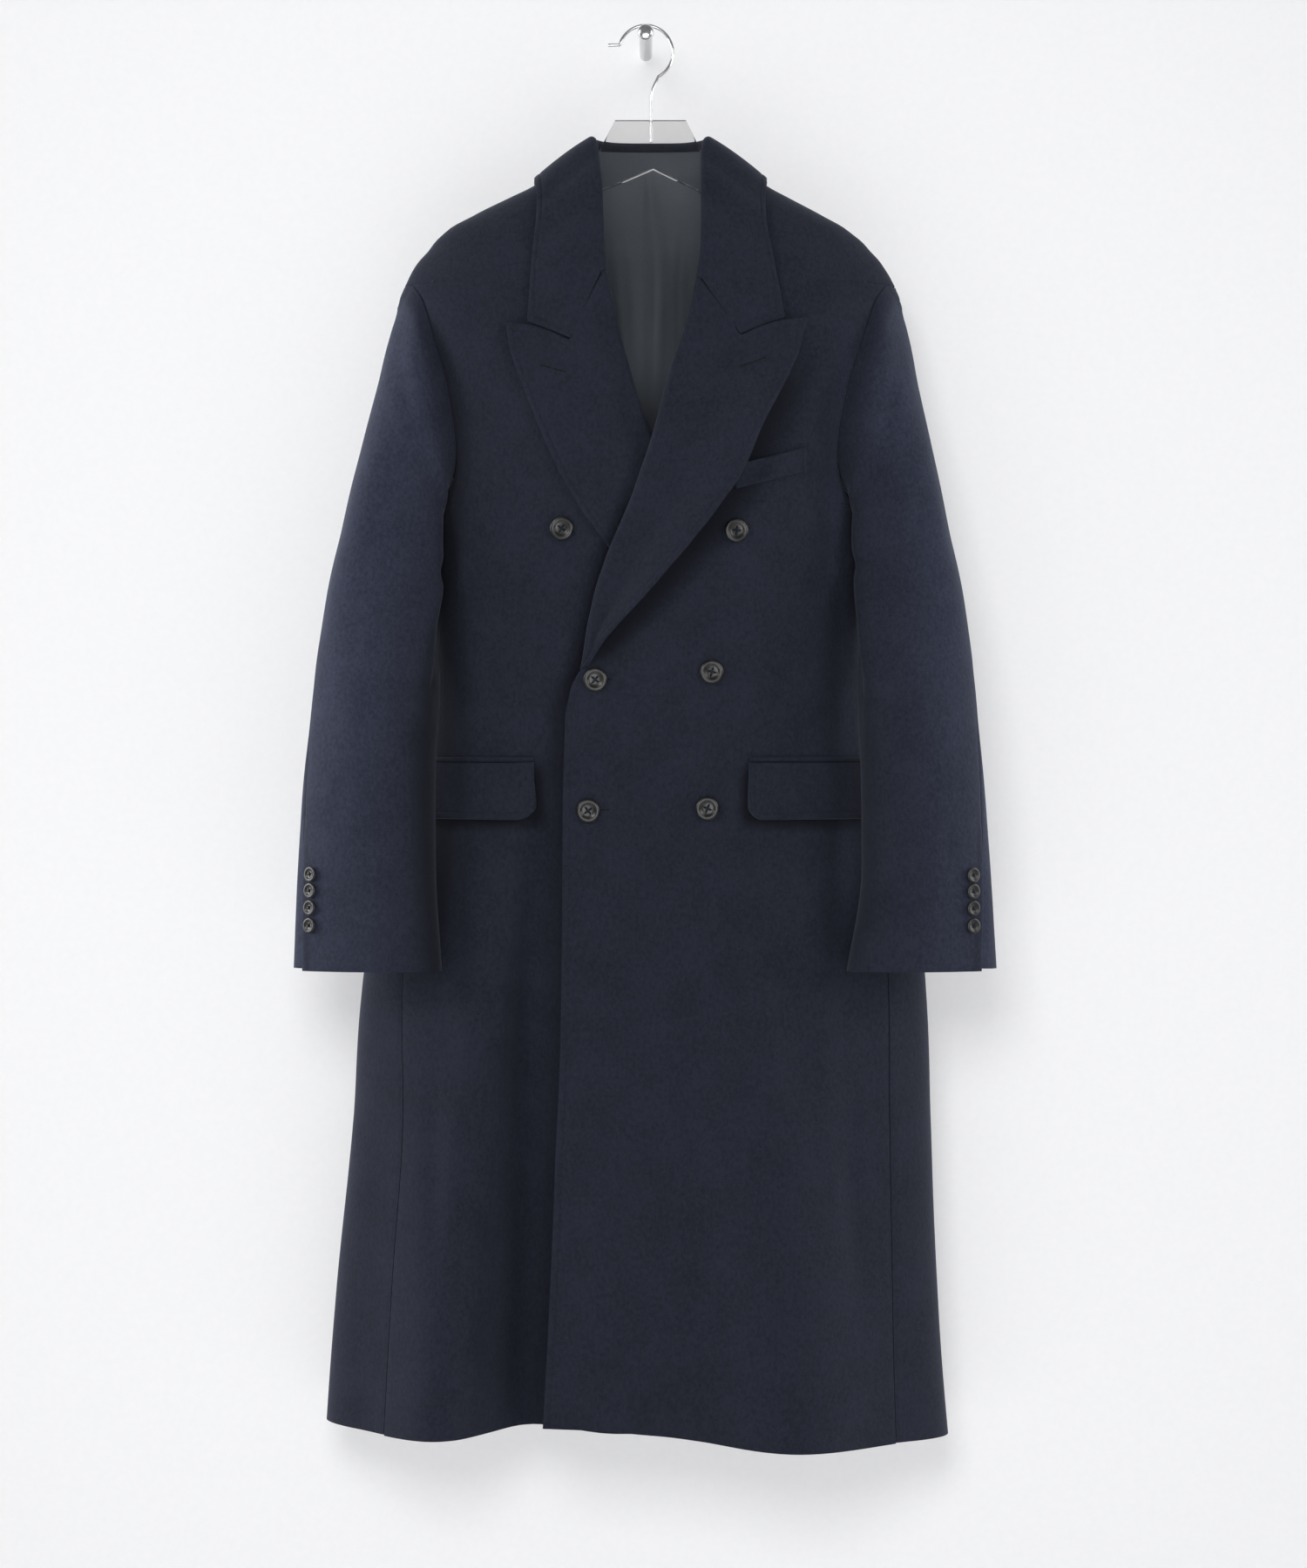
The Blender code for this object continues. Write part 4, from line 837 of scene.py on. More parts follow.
def back_place(side):
    sign = SIGN[side]

    def place(across, down):
        z = row_height(down)
        outer = outer_turn(side, "back", z)
        outer = outer + sign * seam_gap(outer, z)
        inner = sign * 180.0 - sign * seam_gap(np.full(z.shape, sign * 180.0), z)
        vent = ease(-VENT_TOP, -VENT_FULL, -z)
        if side == "left":
            inner = inner + vent * VENT_UNDERLAP
        tuck = armhole_tuck(z) + shoulder_tuck(z)
        end = outer - sign * tuck / pace(outer, z)
        ends = (inner, end) if side == "right" else (end, inner)
        turn = spread(across, BACK_COUNTS[0], *ends, z)
        sunk = TUCK_DEPTH * ease(0.0, 0.0030, sign * (outer - turn) * pace(outer, z)) * (tuck > 0)
        bare = bare_point(turn, z)
        x = bare[:, 0]
        to_middle = length(bare - bare_point(inner, z))
        to_seam = length(bare - bare_point(outer, z))
        crease = armhole_crease("back", z, to_seam)
        drop = 0.0
        if side == "left":
            drop = VENT_DROP * ease(-VENT_DROP_TOP, -VENT_TOP, -z) * ease(-0.105, -0.050, -x)
        z = to_hem(z, hem["back"](x))
        free = vent if side == "right" else 0.0
        dip = seam_dip(to_seam, z) + seam_dip(to_middle) * (1 - vent)
        lift = free * edge_swell(to_middle) - drop - crease_depth("back", x, z) - dip - sunk
        points = body_point(turn, z, lift) + points_of(0.0, crease, 0.0)
        return points, np.where(free > 0.5, to_middle, FAR), z

    return place


def make_backs():
    for side in SIGN:
        cloth(f"{side}_back", bands(f"back_{side}", PANEL_BANDS), BACK_COUNTS, back_place(side), CLOTH)


# Back lining, where it shows inside the neck, with a pleat down its middle
LINING_COUNTS = (150, 90)
LINING_TOP = -0.1100
LINING_BOTTOM = -0.46
LINING_LIFT = -0.0090
LINING_START_TURN = 128.0
PLEAT_X = 0.0010
PLEAT_WIDTH = 0.016
PLEAT_HEIGHT = 0.0016


def lining_place(across, down):
    turn = mix(LINING_START_TURN, 360 - LINING_START_TURN, across)
    z = mix(LINING_TOP, LINING_BOTTOM, down)
    x = bare_point(turn, z)[:, 0]
    pleat = PLEAT_HEIGHT * ease(-0.0012, 0.0, x - PLEAT_X) * (1 - ease(0.0, PLEAT_WIDTH, x - PLEAT_X))
    slack = ease(0.0, 0.12, down) * ease(0.0, 0.1, 1 - down)
    lift = LINING_LIFT - slack * (np.maximum(crease_depth("lining", x, z), -0.004) + pleat)
    return body_point(turn, z, lift), FAR, z


def make_lining():
    cloth("back_lining", ["lining_back"], LINING_COUNTS, lining_place, LINING, slot="lining", rim="thin")


# Sleeves
SLEEVE_COUNTS = {"top": (84, 150), "under": (60, 150)}
SLEEVE_EDGE_STEPS = np.array([0.0, 0.0008, 0.0022, 0.0042, 0.0070, 0.0110])
SLEEVE_CROWDING = 1.15
ARMHOLE_DIP = 0.15
ROPE_HEIGHT = 0.0019
ROPE_REACH = 0.0155
# Painted light along each sleeve's outer side, fading out between two angles from the outer edge, and painted
# shade next to the body.
SleevePaintedShading = namedtuple("SleevePaintedShading", "height full_to none_from pressed")
SLEEVE_PAINTED_SHADING = {"right": SleevePaintedShading(1.0, 84.0, 150.0, 0.8), "left": SleevePaintedShading(0.80, 70.0, 140.0, 0.3)}
CUFF_VENT = 0.835
CUFF_LAP = {"top": 0.0016, "under": -0.0020}
CUFF_RISE = 0.0026
# Painted light and shade at the cuff's hind seam: a painted highlight, painted shade beside it, a painted
# lighter strip and painted shade under the top sleeve's edge.
CUFF_PAINTED_SHADING = {"edge": 0.5, "beside": -0.4, "strip": 0.4, "shade": -1.0}


def sleeve_loop(side, loop, angle):
    sign = SIGN[side]
    out = np.array((sign * getattr(loop, side + "_out"), loop.out_y, loop.out_z))
    inner = np.array((sign * getattr(loop, side + "_in"), loop.in_y, loop.in_z))
    axis = (out - inner) / 2
    level = unit(np.array((axis[0], axis[1], 0.0)))
    forward = np.array((level[1], -level[0], 0.0)) * sign
    turn = np.radians(angle)
    lap = np.where(np.sin(turn) > 0, np.maximum(0.0, -np.sin(2 * turn)) ** 2, 0.0)
    bow = -sign * (loop.bow * np.abs(np.sin(turn)) + getattr(loop, side + "_lap") * lap)
    depth = np.where(np.sin(turn) >= 0, loop.front, loop.back)
    middle = (out + inner) / 2
    return (
        middle
        + axis * in_column(np.cos(turn))
        + forward * in_column(depth * np.sin(turn))
        + np.array((1.0, 0.0, 0.0)) * in_column(bow)
    )


def sleeve_point(side, share, angle):
    """Point of a sleeve's face: share runs from armhole to cuff, angle from the outer edge to the front."""
    swing = np.cos(np.radians(angle))
    gap = mix(SLEEVE_GAP["faces"], SLEEVE_GAP["ends"], np.abs(swing))
    start = armhole_point(side, angle) + points_of(SIGN[side] * gap, 0.0, 0.0)
    loops = np.stack([start] + [sleeve_loop(side, loop, angle) for loop in SLEEVE])
    shares = [0.0] + [loop.share for loop in SLEEVE]
    return np.stack([Curve(shares, loops[:, :, axis])(share) for axis in range(3)], axis=-1)


def sleeve_outward(side, share, angle):
    """Direction out of a sleeve's face."""
    around = sleeve_point(side, share, angle + 2) - sleeve_point(side, share, angle - 2)
    along = sleeve_point(side, np.minimum(share + 0.01, 1.0), angle)
    along = along - sleeve_point(side, np.maximum(share - 0.01, 0.0), angle)
    return unit(np.cross(around, along) * SIGN[side])


def dent_depth(side, share, angle):
    depth = np.zeros(np.shape(share))
    for dent in DENTS:
        if dent.side != side:
            continue
        run_x = (dent.angle_end - dent.angle_start) * SLEEVE_DEGREE
        run_z = (dent.share_end - dent.share_start) * SLEEVE_LENGTH
        x = (angle - dent.angle_start) * SLEEVE_DEGREE
        z = (share - dent.share_start) * SLEEVE_LENGTH
        run = math.hypot(run_x, run_z)
        along = (x * run_x + z * run_z) / run**2
        off = (x * run_z - z * run_x) / run + 0.002 * np.sin(7 * along + dent.angle_start)
        depth += dent.depth * np.sin(np.pi * np.clip(along, 0.0, 1.0)) * hump(off, dent.half_width)
    return depth


def sleeve_painted_light_shade(side, share, angle):
    """Painted light and shade of a sleeve: painted light most along the outer side, and painted shade next to
    the body.
    """
    nap = SLEEVE_PAINTED_SHADING[side]
    turn = np.minimum(np.abs(angle), np.abs(360 - angle))
    outer = nap.height * (1 - ease(nap.full_to, nap.none_from, turn)) * mix(1.0, 0.6, ease(0.55, 1.0, share))
    return outer * ease(0.0, 0.06, share) - nap.pressed * ease(128.0, 165.0, turn)


def cuff_painted_light_shade(piece, share, to_hind):
    """Painted light and shade beside the hind seam near the cuff: a painted highlight on the top sleeve's edge
    with painted shade beside it, and on the under sleeve a painted lighter strip with painted shade under the
    top sleeve's edge.
    """
    near = ease(0.66, 0.80, share)
    if piece == "top":
        edge = CUFF_PAINTED_SHADING["edge"] * (1 - ease(0.0, 0.0022, to_hind))
        return near * (edge + CUFF_PAINTED_SHADING["beside"] * hump(to_hind - 0.0065, 0.0055))
    strip = CUFF_PAINTED_SHADING["strip"] * (1 - ease(0.012, 0.035, to_hind))
    return near * (strip + CUFF_PAINTED_SHADING["shade"] * (1 - ease(0.0004, 0.0026, to_hind)))


def sleeve_seams(side, piece, share):
    """Angles of the two seams that a sleeve's piece runs between."""
    hind = sleeve_seam[side](share)
    inner = sleeve_seam["inner"](share)
    gap = mix(0.5, 0.25, share)
    return (hind + gap, inner - gap) if piece == "top" else (inner + gap, hind + 360 - gap)


def sleeve_spread(share, count, start, end):
    """Angles of a sleeve's columns from start to end, crowded at both seams."""
    index = np.rint(share * count)
    last = len(SLEEVE_EDGE_STEPS) - 1
    steps = SLEEVE_EDGE_STEPS / SLEEVE_DEGREE
    near_start = start + steps[np.clip(index, 0, last).astype(int)]
    near_end = end - steps[np.clip(count - index, 0, last).astype(int)]
    middle = mix(start + steps[-1], end - steps[-1], (index - last) / (count - 2 * last))
    return np.where(index <= last, near_start, np.where(index >= count - last, near_end, middle))


def sleeve_lift(side, piece, share, angle, to_hind, to_inner):
    """How far a sleeve's face stands off its loops: dents, seams, the cuff's lap and the full crown."""
    to_armhole = share * SLEEVE_LENGTH
    vent = ease(CUFF_VENT - 0.02, CUFF_VENT, share)
    lap = CUFF_LAP[piece] * ease(CUFF_VENT, 0.94, share) * np.exp(-((to_hind / 0.012) ** 2))
    lift = -dent_depth(side, share, angle) - seam_dip(to_inner) - seam_dip(to_hind) * (1 - vent)
    lift = lift - ARMHOLE_DIP * seam_dip(to_armhole) + lap
    crown = ease(-0.1, 0.7, np.cos(np.radians(angle)))
    lift = lift + ROPE_HEIGHT * crown * hump(to_armhole - ROPE_REACH, ROPE_REACH)
    front = np.sin(np.radians(angle)) >= 0
    swell = ARM_SWELL * front * armhole_share_down(armhole_height(angle))
    return lift + swell * hump(to_armhole - 0.036, 0.030)


def sleeve_place(side, piece):
    count = SLEEVE_COUNTS[piece][0]

    def place(across, down):
        across = across if side == "right" else 1 - across
        share = down**SLEEVE_CROWDING
        start, end = sleeve_seams(side, piece, share)
        angle = sleeve_spread(across, count, start, end)
        to_start = (angle - start) * SLEEVE_DEGREE
        to_end = (end - angle) * SLEEVE_DEGREE
        to_hind, to_inner = (to_start, to_end) if piece == "top" else (to_end, to_start)
        # Painted light and shade of the sleeve, kept with its cloth.
        nap = sleeve_painted_light_shade(side, share, angle) + cuff_painted_light_shade(piece, share, to_hind)
        lift = sleeve_lift(side, piece, share, angle, to_hind, to_inner)
        seam_z = armhole_height(angle)
        creases = [armhole_crease(face, seam_z, share * SLEEVE_LENGTH) for face in ("front", "back")]
        crease = np.where(np.sin(np.radians(angle)) >= 0, *creases)
        if piece == "under":
            rise = CUFF_RISE * ease(0.93, 1.0, share) * np.exp(-((to_hind / 0.05) ** 2))
            share = share - rise / SLEEVE_LENGTH
        points = sleeve_point(side, share, angle) + sleeve_outward(side, share, angle) * in_column(lift)
        return points + points_of(0.0, crease, 0.0), FAR, share, nap

    return place


def make_sleeves():
    for side in SIGN:
        for piece, counts in SLEEVE_COUNTS.items():
            name = f"{side}_{piece}_sleeve"
            nodes = bands(f"sleeve_{piece}_{side}", SLEEVE_BANDS)
            cloth(name, nodes, counts, sleeve_place(side, piece), CLOTH, even=False)


# Lapels
ROLL_SHARE = 0.40
ROLL_END = 0.30
CORNER_REACH = 0.16
PEAK_BOW = 0.0036
LAPEL_COLUMNS = np.concatenate(
    [np.linspace(0.0, 0.40, 19), np.linspace(0.42, 0.88, 30), np.linspace(0.892, 1.0, 19)]
)
TUCK_ROWS = 0.02
NEAR_GORGE = 0.05
LAPEL_ROWS = np.concatenate(
    [np.linspace(-TUCK_ROWS, -0.004, 5), np.linspace(0.0, NEAR_GORGE, 16), np.linspace(0.06, 1.0, 92)]
)
GORGE_TUCK = {"roll": 0.0080, "leaf": 0.0060}
GORGE_WAY = {"roll": 0.2, "leaf": 0.88}
GORGE_DROP = 0.0038


def from_table(shares, table):
    """The entries of a table at even shares from 0 to 1."""
    return table[np.rint(shares * (len(table) - 1)).astype(int)]


def leaf_path(start, mid, edge, u, corner):
    """Point along a leaf from its fold to its edge: a bow through mid, or two straights where corner is 1."""
    bow = start * (1 - u) * (1 - 2 * u) + mid * 4 * u * (1 - u) + edge * u * (2 * u - 1)
    straight = np.where(u < 0.5, mix(start, mid, 2 * u), mix(mid, edge, 2 * u - 1))
    return mix(bow, straight, corner)


def lapel_columns(side):
    rows = LAPELS[side]
    heights = [i / (len(rows) - 1) for i in range(len(rows))]
    return {name: Curve(heights, [getattr(row, name) for row in rows]) for name in Lapel._fields}


def lapel_rows(share, down):
    """Row of a lapel from 0 at the gorge to 1 at the break, and its share of the way under the collar."""
    row = from_table(down, LAPEL_ROWS)
    gorge = 1 - ease(0.30, 0.46, (share - ROLL_SHARE) / (1 - ROLL_SHARE))
    free = np.where(row < NEAR_GORGE, (row + TUCK_ROWS) * NEAR_GORGE / (NEAR_GORGE + TUCK_ROWS), row)
    row = mix(free, row, gorge)
    return row, np.maximum(0.0, -row) / TUCK_ROWS


def lapel_leaf(column, share, up):
    """Place of a lapel across X and Z, its share past the roll, its angle round the roll and the radius."""
    lines = [(column[line + "_x"](up), column[line + "_z"](up)) for line in ("roll", "mid", "edge")]
    roll, mid, edge = (np.stack(line, axis=-1) for line in lines)
    outward = unit(mid - roll)
    u = np.clip((share - ROLL_SHARE) / (1 - ROLL_SHARE), 0.0, 1.0)
    corner = ease(1 - CORNER_REACH, 1.0, up)
    radius = ROLL_RADIUS * mix(ROLL_END, 1.0, ease(0.0, 0.12, up))
    flat = leaf_path(roll + outward * in_column(radius), mid, edge, in_column(u), in_column(corner))
    flat[:, 1] += PEAK_BOW * corner * np.sin(np.pi * np.maximum(0.0, 2 * u - 1))
    angle = np.radians(mix(-90.0, 90.0, np.clip(share / ROLL_SHARE, 0.0, 1.0)))
    rolled = roll + outward * in_column(radius * (1 - np.cos(angle)))
    return np.where(in_column(share < ROLL_SHARE), rolled, flat), u, angle, radius


def lapel_lift(side, up, u, angle, top):
    """How far a lapel stands off its front, round the roll and past it, where it lifts at its edge."""
    radius = (top + CLOTH / 2) / 2
    rolled = top / 2 - CLOTH / 4 + radius * np.sin(angle)
    edge = mix(top, LAPEL_EDGE_LIFT[side], ease(0.0, 0.30, up) * mix(1.0, 0.55, ease(0.75, 1.0, up)))
    flat = mix(top, LAPEL_LIFT, ease(0.0, 0.6, u)) + (edge - LAPEL_LIFT) * ease(0.35, 1.0, u)
    return rolled, flat


def lapel_place(side):
    column = lapel_columns(side)

    def place(across, down):
        share = from_table(across if side == "left" else 1 - across, LAPEL_COLUMNS)
        row, tuck = lapel_rows(share, down)
        up = np.minimum(1 - row, 1.0)
        flat, u, angle, radius = lapel_leaf(column, share, up)
        to_edge = length(flat - lapel_leaf(column, np.ones_like(share), up)[0])
        to_top = length(flat - lapel_leaf(column, share, np.ones_like(up))[0])
        rolled = share < ROLL_SHARE
        edge = np.where(rolled, FAR, np.minimum(to_edge, np.where(u > 0.5, to_top, FAR)))
        top = 2 * radius - CLOTH / 2
        rolled_lift, flat_lift = lapel_lift(side, up, u, angle, top)
        lift = np.where(rolled, rolled_lift, flat_lift + edge_swell(edge))
        tucked = np.where(rolled, mix(lift, top / 2, 0.5), lift - GORGE_DROP)
        lift = mix(lift, tucked, ease(0.12, 0.62, tuck))
        past_roll = np.where(rolled, 0.0, ease(0.0, 0.1, u))
        reach = mix(GORGE_TUCK["roll"], GORGE_TUCK["leaf"], past_roll) * tuck
        way = mix(GORGE_WAY["roll"], GORGE_WAY["leaf"], past_roll)
        x = flat[:, 0] + SIGN[side] * way * reach
        z = flat[:, 1] + np.sqrt(1 - way * way) * reach
        lift = lift + crease_depth(side + " hollow", x, z)
        return front_point(side, x, z, lift), edge, flat[:, 1] + flat[:, 0] * 0.7

    return place


def make_lapels():
    counts = (len(LAPEL_COLUMNS) - 1, len(LAPEL_ROWS) - 1)
    for side in SIGN:
        cloth(f"{side}_lapel", [f"lapel_{side}"], counts, lapel_place(side), LEAF, offset=0.0, rim="leaf")


# Collar
COLLAR_STAND_SHARE = 0.25
COLLAR_FOLD_SHARE = 0.50
COLLAR_ROWS = np.concatenate(
    [
        np.linspace(0.0, 0.085, 14),
        np.linspace(0.10, 0.49, 22),
        np.linspace(0.50, 0.74, 15),
        np.linspace(0.76, 1.0, 9),
    ]
)
COLLAR_COLUMNS = np.concatenate(
    [np.linspace(0.0, 0.018, 12), np.linspace(0.024, 0.976, 130), np.linspace(0.982, 1.0, 12)]
)


def on_collar_row(row, x, z, lift):
    """Point of the body where a collar's row lies, moved out by lift."""
    x, z = np.array([x]), np.array([z])
    turn = np.copysign(90.0, x) if row.face == "ridge" else turn_at(x, z, row.face == "front")
    return body_point(turn, z, lift)[0]


def collar_rows():
    """Neck seam, fold, middle, leaf edge and outward direction of every row."""
    found = []
    for i, row in enumerate(COLLAR):
        base = on_collar_row(row, row.base_x, row.base_z, -CLOTH / 2)
        fold = np.array((row.fold_x, row.fold_y, row.fold_z))
        flat = on_collar_row(row, row.edge_x, row.edge_z, 0.0)
        edge = on_collar_row(row, row.edge_x, row.edge_z, COLLAR_LIFT)
        outward = unit(edge - flat)
        middle = (fold + edge) / 2 + outward * COLLAR_BULGE
        if i in (0, len(COLLAR) - 1):
            middle = on_collar_row(row, *NOTCH_CORNERS["right" if i == 0 else "left"], COLLAR_LIFT)
        found.append((base, fold, middle, edge, outward))
    return found


collar_keys = [i / (len(COLLAR) - 1) for i in range(len(COLLAR))]
collar_found = np.array(collar_rows())
collar_curves = [[Curve(collar_keys, collar_found[:, part, axis]) for axis in range(3)] for part in range(5)]


def collar_point(across, share):
    parts = [np.stack([curve(across) for curve in curves], axis=-1) for curves in collar_curves]
    base, fold, middle, edge, outward = parts
    inward = unit(unit(base - fold) + unit(edge - fold))
    outward = unit(outward - inward * in_column(np.sum(outward * inward, axis=-1)))
    centre = fold + inward * ROLL_RADIUS
    stand = mix(base, centre - outward * ROLL_RADIUS, in_column(np.clip(share / COLLAR_STAND_SHARE, 0, 1)))
    turned_share = (share - COLLAR_STAND_SHARE) / (COLLAR_FOLD_SHARE - COLLAR_STAND_SHARE)
    angle = np.radians(mix(-90.0, 90.0, np.clip(turned_share, 0, 1)))
    turned = outward * in_column(np.sin(angle)) - inward * in_column(np.cos(angle))
    fold_line = centre + turned * ROLL_RADIUS
    u = np.clip((share - COLLAR_FOLD_SHARE) / (1 - COLLAR_FOLD_SHARE), 0, 1)
    corner = ease(0.5 - CORNER_REACH / 2, 0.5, np.abs(across - 0.5))
    leaf = leaf_path(centre + outward * ROLL_RADIUS, middle, edge, in_column(u), in_column(corner))
    point = np.where(in_column(share < COLLAR_FOLD_SHARE), fold_line, leaf)
    return np.where(in_column(share < COLLAR_STAND_SHARE), stand, point), outward, u


def collar_place(across, down):
    across = from_table(across, COLLAR_COLUMNS)
    share = 1 - from_table(down, COLLAR_ROWS)
    point, outward, u = collar_point(across, share)
    to_edge = length(point - collar_point(across, np.ones_like(share))[0])
    end = np.where(across < 0.5, 0.0, 1.0)
    to_end = length(point - collar_point(end, share)[0])
    to_end = np.where(u > 0.5, to_end, FAR)
    gap = np.where(u > 0, np.minimum(to_edge, to_end), FAR)
    point = point + outward * in_column(np.where(u > 0, edge_swell(gap), 0.0))
    return point, gap, across * 0.6


def make_collar():
    counts = (len(COLLAR_COLUMNS) - 1, len(COLLAR_ROWS) - 1)
    cloth("collar_leaf", ["collar"], counts, collar_place, LEAF, offset=0.0, rim="leaf")


# Pockets
FLAP_COUNTS = (84, 40)
JET_COUNTS = (60, 6)
WELT_COUNTS = (84, 30)
FLAP_BOW = 0.0056
JET_INSET = 0.001
JET_SWELL = 0.0012


def flap_place(flap):
    def place(across, down):
        share = across if flap.side == "left" else 1 - across
        share = np.where(share < 0.3, share**1.25 * 0.3**-0.25, share)
        x = mix(flap.front_x, flap.hidden_x, share)
        inset = np.maximum(0.0, 1 - np.abs(x - flap.front_x) / flap.corner)
        drop = flap.drop - flap.corner * (1 - np.sqrt(np.maximum(0.0, 1 - inset * inset)))
        low = 1 - (1 - down) ** 1.4
        to_end = np.abs(x - flap.front_x)
        to_bottom = drop * (1 - low)
        gap = np.minimum(to_end, to_bottom)
        lift = TRIM_LIFT + FLAP_THICK + FLAP_BOW * low**2 + edge_swell(gap)
        return front_point(flap.side, x, flap.top_z - drop * low, lift), gap, x

    return place


def jet_place(flap):
    def place(across, down):
        share = across if flap.side == "left" else 1 - across
        x = mix(flap.front_x + JET_INSET * SIGN[flap.side], flap.hidden_x, share)
        z = flap.top_z + JET_HEIGHT + 0.0005 - JET_HEIGHT * down
        lift = TRIM_LIFT + CLOTH / 2 - JET_SWELL / 2 + JET_SWELL * np.sin(np.pi * down)
        return front_point(flap.side, x, z, lift), FAR, x

    return place


WELT_TACK = 0.0040
WELT_TACK_DEPTH = 0.0009
WELT_SEAM_DEPTH = 0.0008
WELT_SWELL = 0.0007


def welt_place(across, down):
    x = mix(WELT["inner_x"], WELT["outer_x"], across)
    z = mix(WELT["inner_z"], WELT["outer_z"], across) - WELT_HEIGHT * down
    to_end = WELT["outer_x"] - x
    to_top = WELT_HEIGHT * down
    dip = WELT_TACK_DEPTH * np.exp(-(((to_end - WELT_TACK) / 0.0009) ** 2))
    dip = dip + WELT_SEAM_DEPTH * ease(0.92, 1.0, down)
    swell = WELT_SWELL * np.exp(-((to_top / 0.004) ** 2))
    gap = np.where(to_end < 2 * WELT_TACK, np.abs(to_end - WELT_TACK) + STITCH_LINE, FAR)
    return front_point("left", x, z, TRIM_LIFT + WELT_THICK - dip + swell), gap, z


def make_pockets():
    for flap in FLAPS:
        side = flap.side
        cloth(f"{side}_pocket_flap", [f"flap_{side}"], FLAP_COUNTS, flap_place(flap), FLAP_THICK, rim="leaf")
        cloth(f"{side}_pocket_jet", [f"jet_{side}"], JET_COUNTS, jet_place(flap), CLOTH / 2, rim="thin")
    cloth("breast_pocket_welt", ["breast_welt"], WELT_COUNTS, welt_place, WELT_THICK)


# Buttons: a sunk middle with four holes inside a rounded rim, as (radius, height) shares of the radius
BUTTON_PROFILE = [
    (0.0, 0.120),
    (0.30, 0.120),
    (0.46, 0.126),
    (0.55, 0.152),
    (0.62, 0.196),
    (0.70, 0.228),
    (0.79, 0.238),
    (0.88, 0.226),
    (0.95, 0.190),
    (0.99, 0.140),
    (1.0, 0.105),
    (0.985, 0.066),
    (0.93, 0.028),
    (0.80, 0.008),
    (0.45, 0.0),
    (0.0, 0.0),
]
BUTTON_HOLE = 0.085
BUTTON_HOLE_SPREAD = 0.165
BUTTON_STEPS = 56
DRILL_STEPS = 18
DRILL_DEPTH = 0.6

# Thread of a button of radius 1: four strands crossed over the holes, and the shank below
THREAD = 0.050
STRAND_SHIFT = 0.045
STRAND_STEPS = 12
STRAND_BED = 0.128
STRAND_ARCH = 0.075
STRAND_DIVE = 0.09
STRAND_CROSSING = 0.02
SHANK_PROFILE = [(0.0, 0.004), (0.16, 0.004), (0.15, -0.10), (0.19, -0.23), (0.0, -0.23)]
SHANK_STEPS = 20


def spun(profile, steps):
    """A mesh of a profile of (radius, height) turned about Z."""
    line = bmesh.new()
    verts = [line.verts.new((radius, 0.0, height)) for radius, height in profile]
    edges = [line.edges.new(pair) for pair in zip(verts, verts[1:])]
    bmesh.ops.spin(
        line,
        geom=verts + edges,
        cent=(0, 0, 0),
        axis=(0, 0, 1),
        angle=2 * math.pi,
        steps=steps,
        use_merge=True,
    )
    bmesh.ops.remove_doubles(line, verts=line.verts, dist=1e-6)
    bmesh.ops.recalc_face_normals(line, faces=line.faces)
    for face in line.faces:
        face.smooth = True
    mesh = bpy.data.meshes.new("spun")
    line.to_mesh(mesh)
    line.free()
    return mesh


def taken(helper):
    """The finished mesh of a helper object, which is then removed."""
    bpy.context.view_layer.update()
    mesh = bpy.data.meshes.new_from_object(helper.evaluated_get(bpy.context.evaluated_depsgraph_get()))
    mesh.transform(helper.matrix_world)
    bpy.data.objects.remove(helper, do_unlink=True)
    return mesh


def helper_object(data):
    helper = bpy.data.objects.new("helper", data)
    bpy.context.scene.collection.objects.link(helper)
    return helper


def wire_mesh(points, radius, closed=False, sides=4):
    """A round wire along points."""
    path = bpy.data.curves.new("wire", "CURVE")
    path.dimensions = "3D"
    path.bevel_depth = radius
    path.bevel_resolution = sides
    path.use_fill_caps = True
    line = path.splines.new("POLY")
    line.points.add(len(points) - 1)
    for spot, point in zip(line.points, points):
        spot.co = (*point, 1.0)
    line.use_cyclic_u = closed
    mesh = taken(helper_object(path))
    for face in mesh.polygons:
        face.use_smooth = True
    return mesh


def joined(meshes):
    """Several meshes as one."""
    whole = bmesh.new()
    for mesh in meshes:
        whole.from_mesh(mesh)
        bpy.data.meshes.remove(mesh)
    bmesh.ops.recalc_face_normals(whole, faces=whole.faces)
    made = bpy.data.meshes.new("joined")
    whole.to_mesh(made)
    whole.free()
    return made


def hole_centres():
    return [(BUTTON_HOLE_SPREAD * a, BUTTON_HOLE_SPREAD * b) for a, b in ((1, 1), (-1, 1), (-1, -1), (1, -1))]


def button_mesh():
    """A button of radius 1 with its four holes cut."""
    disc = helper_object(spun(BUTTON_PROFILE, BUTTON_STEPS))
    drills = bmesh.new()
    for x, y in hole_centres():
        bmesh.ops.create_cone(
            drills,
            cap_ends=True,
            segments=DRILL_STEPS,
            radius1=BUTTON_HOLE,
            radius2=BUTTON_HOLE,
            depth=DRILL_DEPTH,
            matrix=Matrix.Translation((x, y, 0.05)),
        )
    drill_mesh = bpy.data.meshes.new("drills")
    drills.to_mesh(drill_mesh)
    drills.free()
    drill = helper_object(drill_mesh)
    cut = disc.modifiers.new("holes", "BOOLEAN")
    cut.operation = "DIFFERENCE"
    cut.solver = "EXACT"
    cut.object = drill
    mesh = taken(disc)
    bpy.data.objects.remove(drill, do_unlink=True)
    return mesh


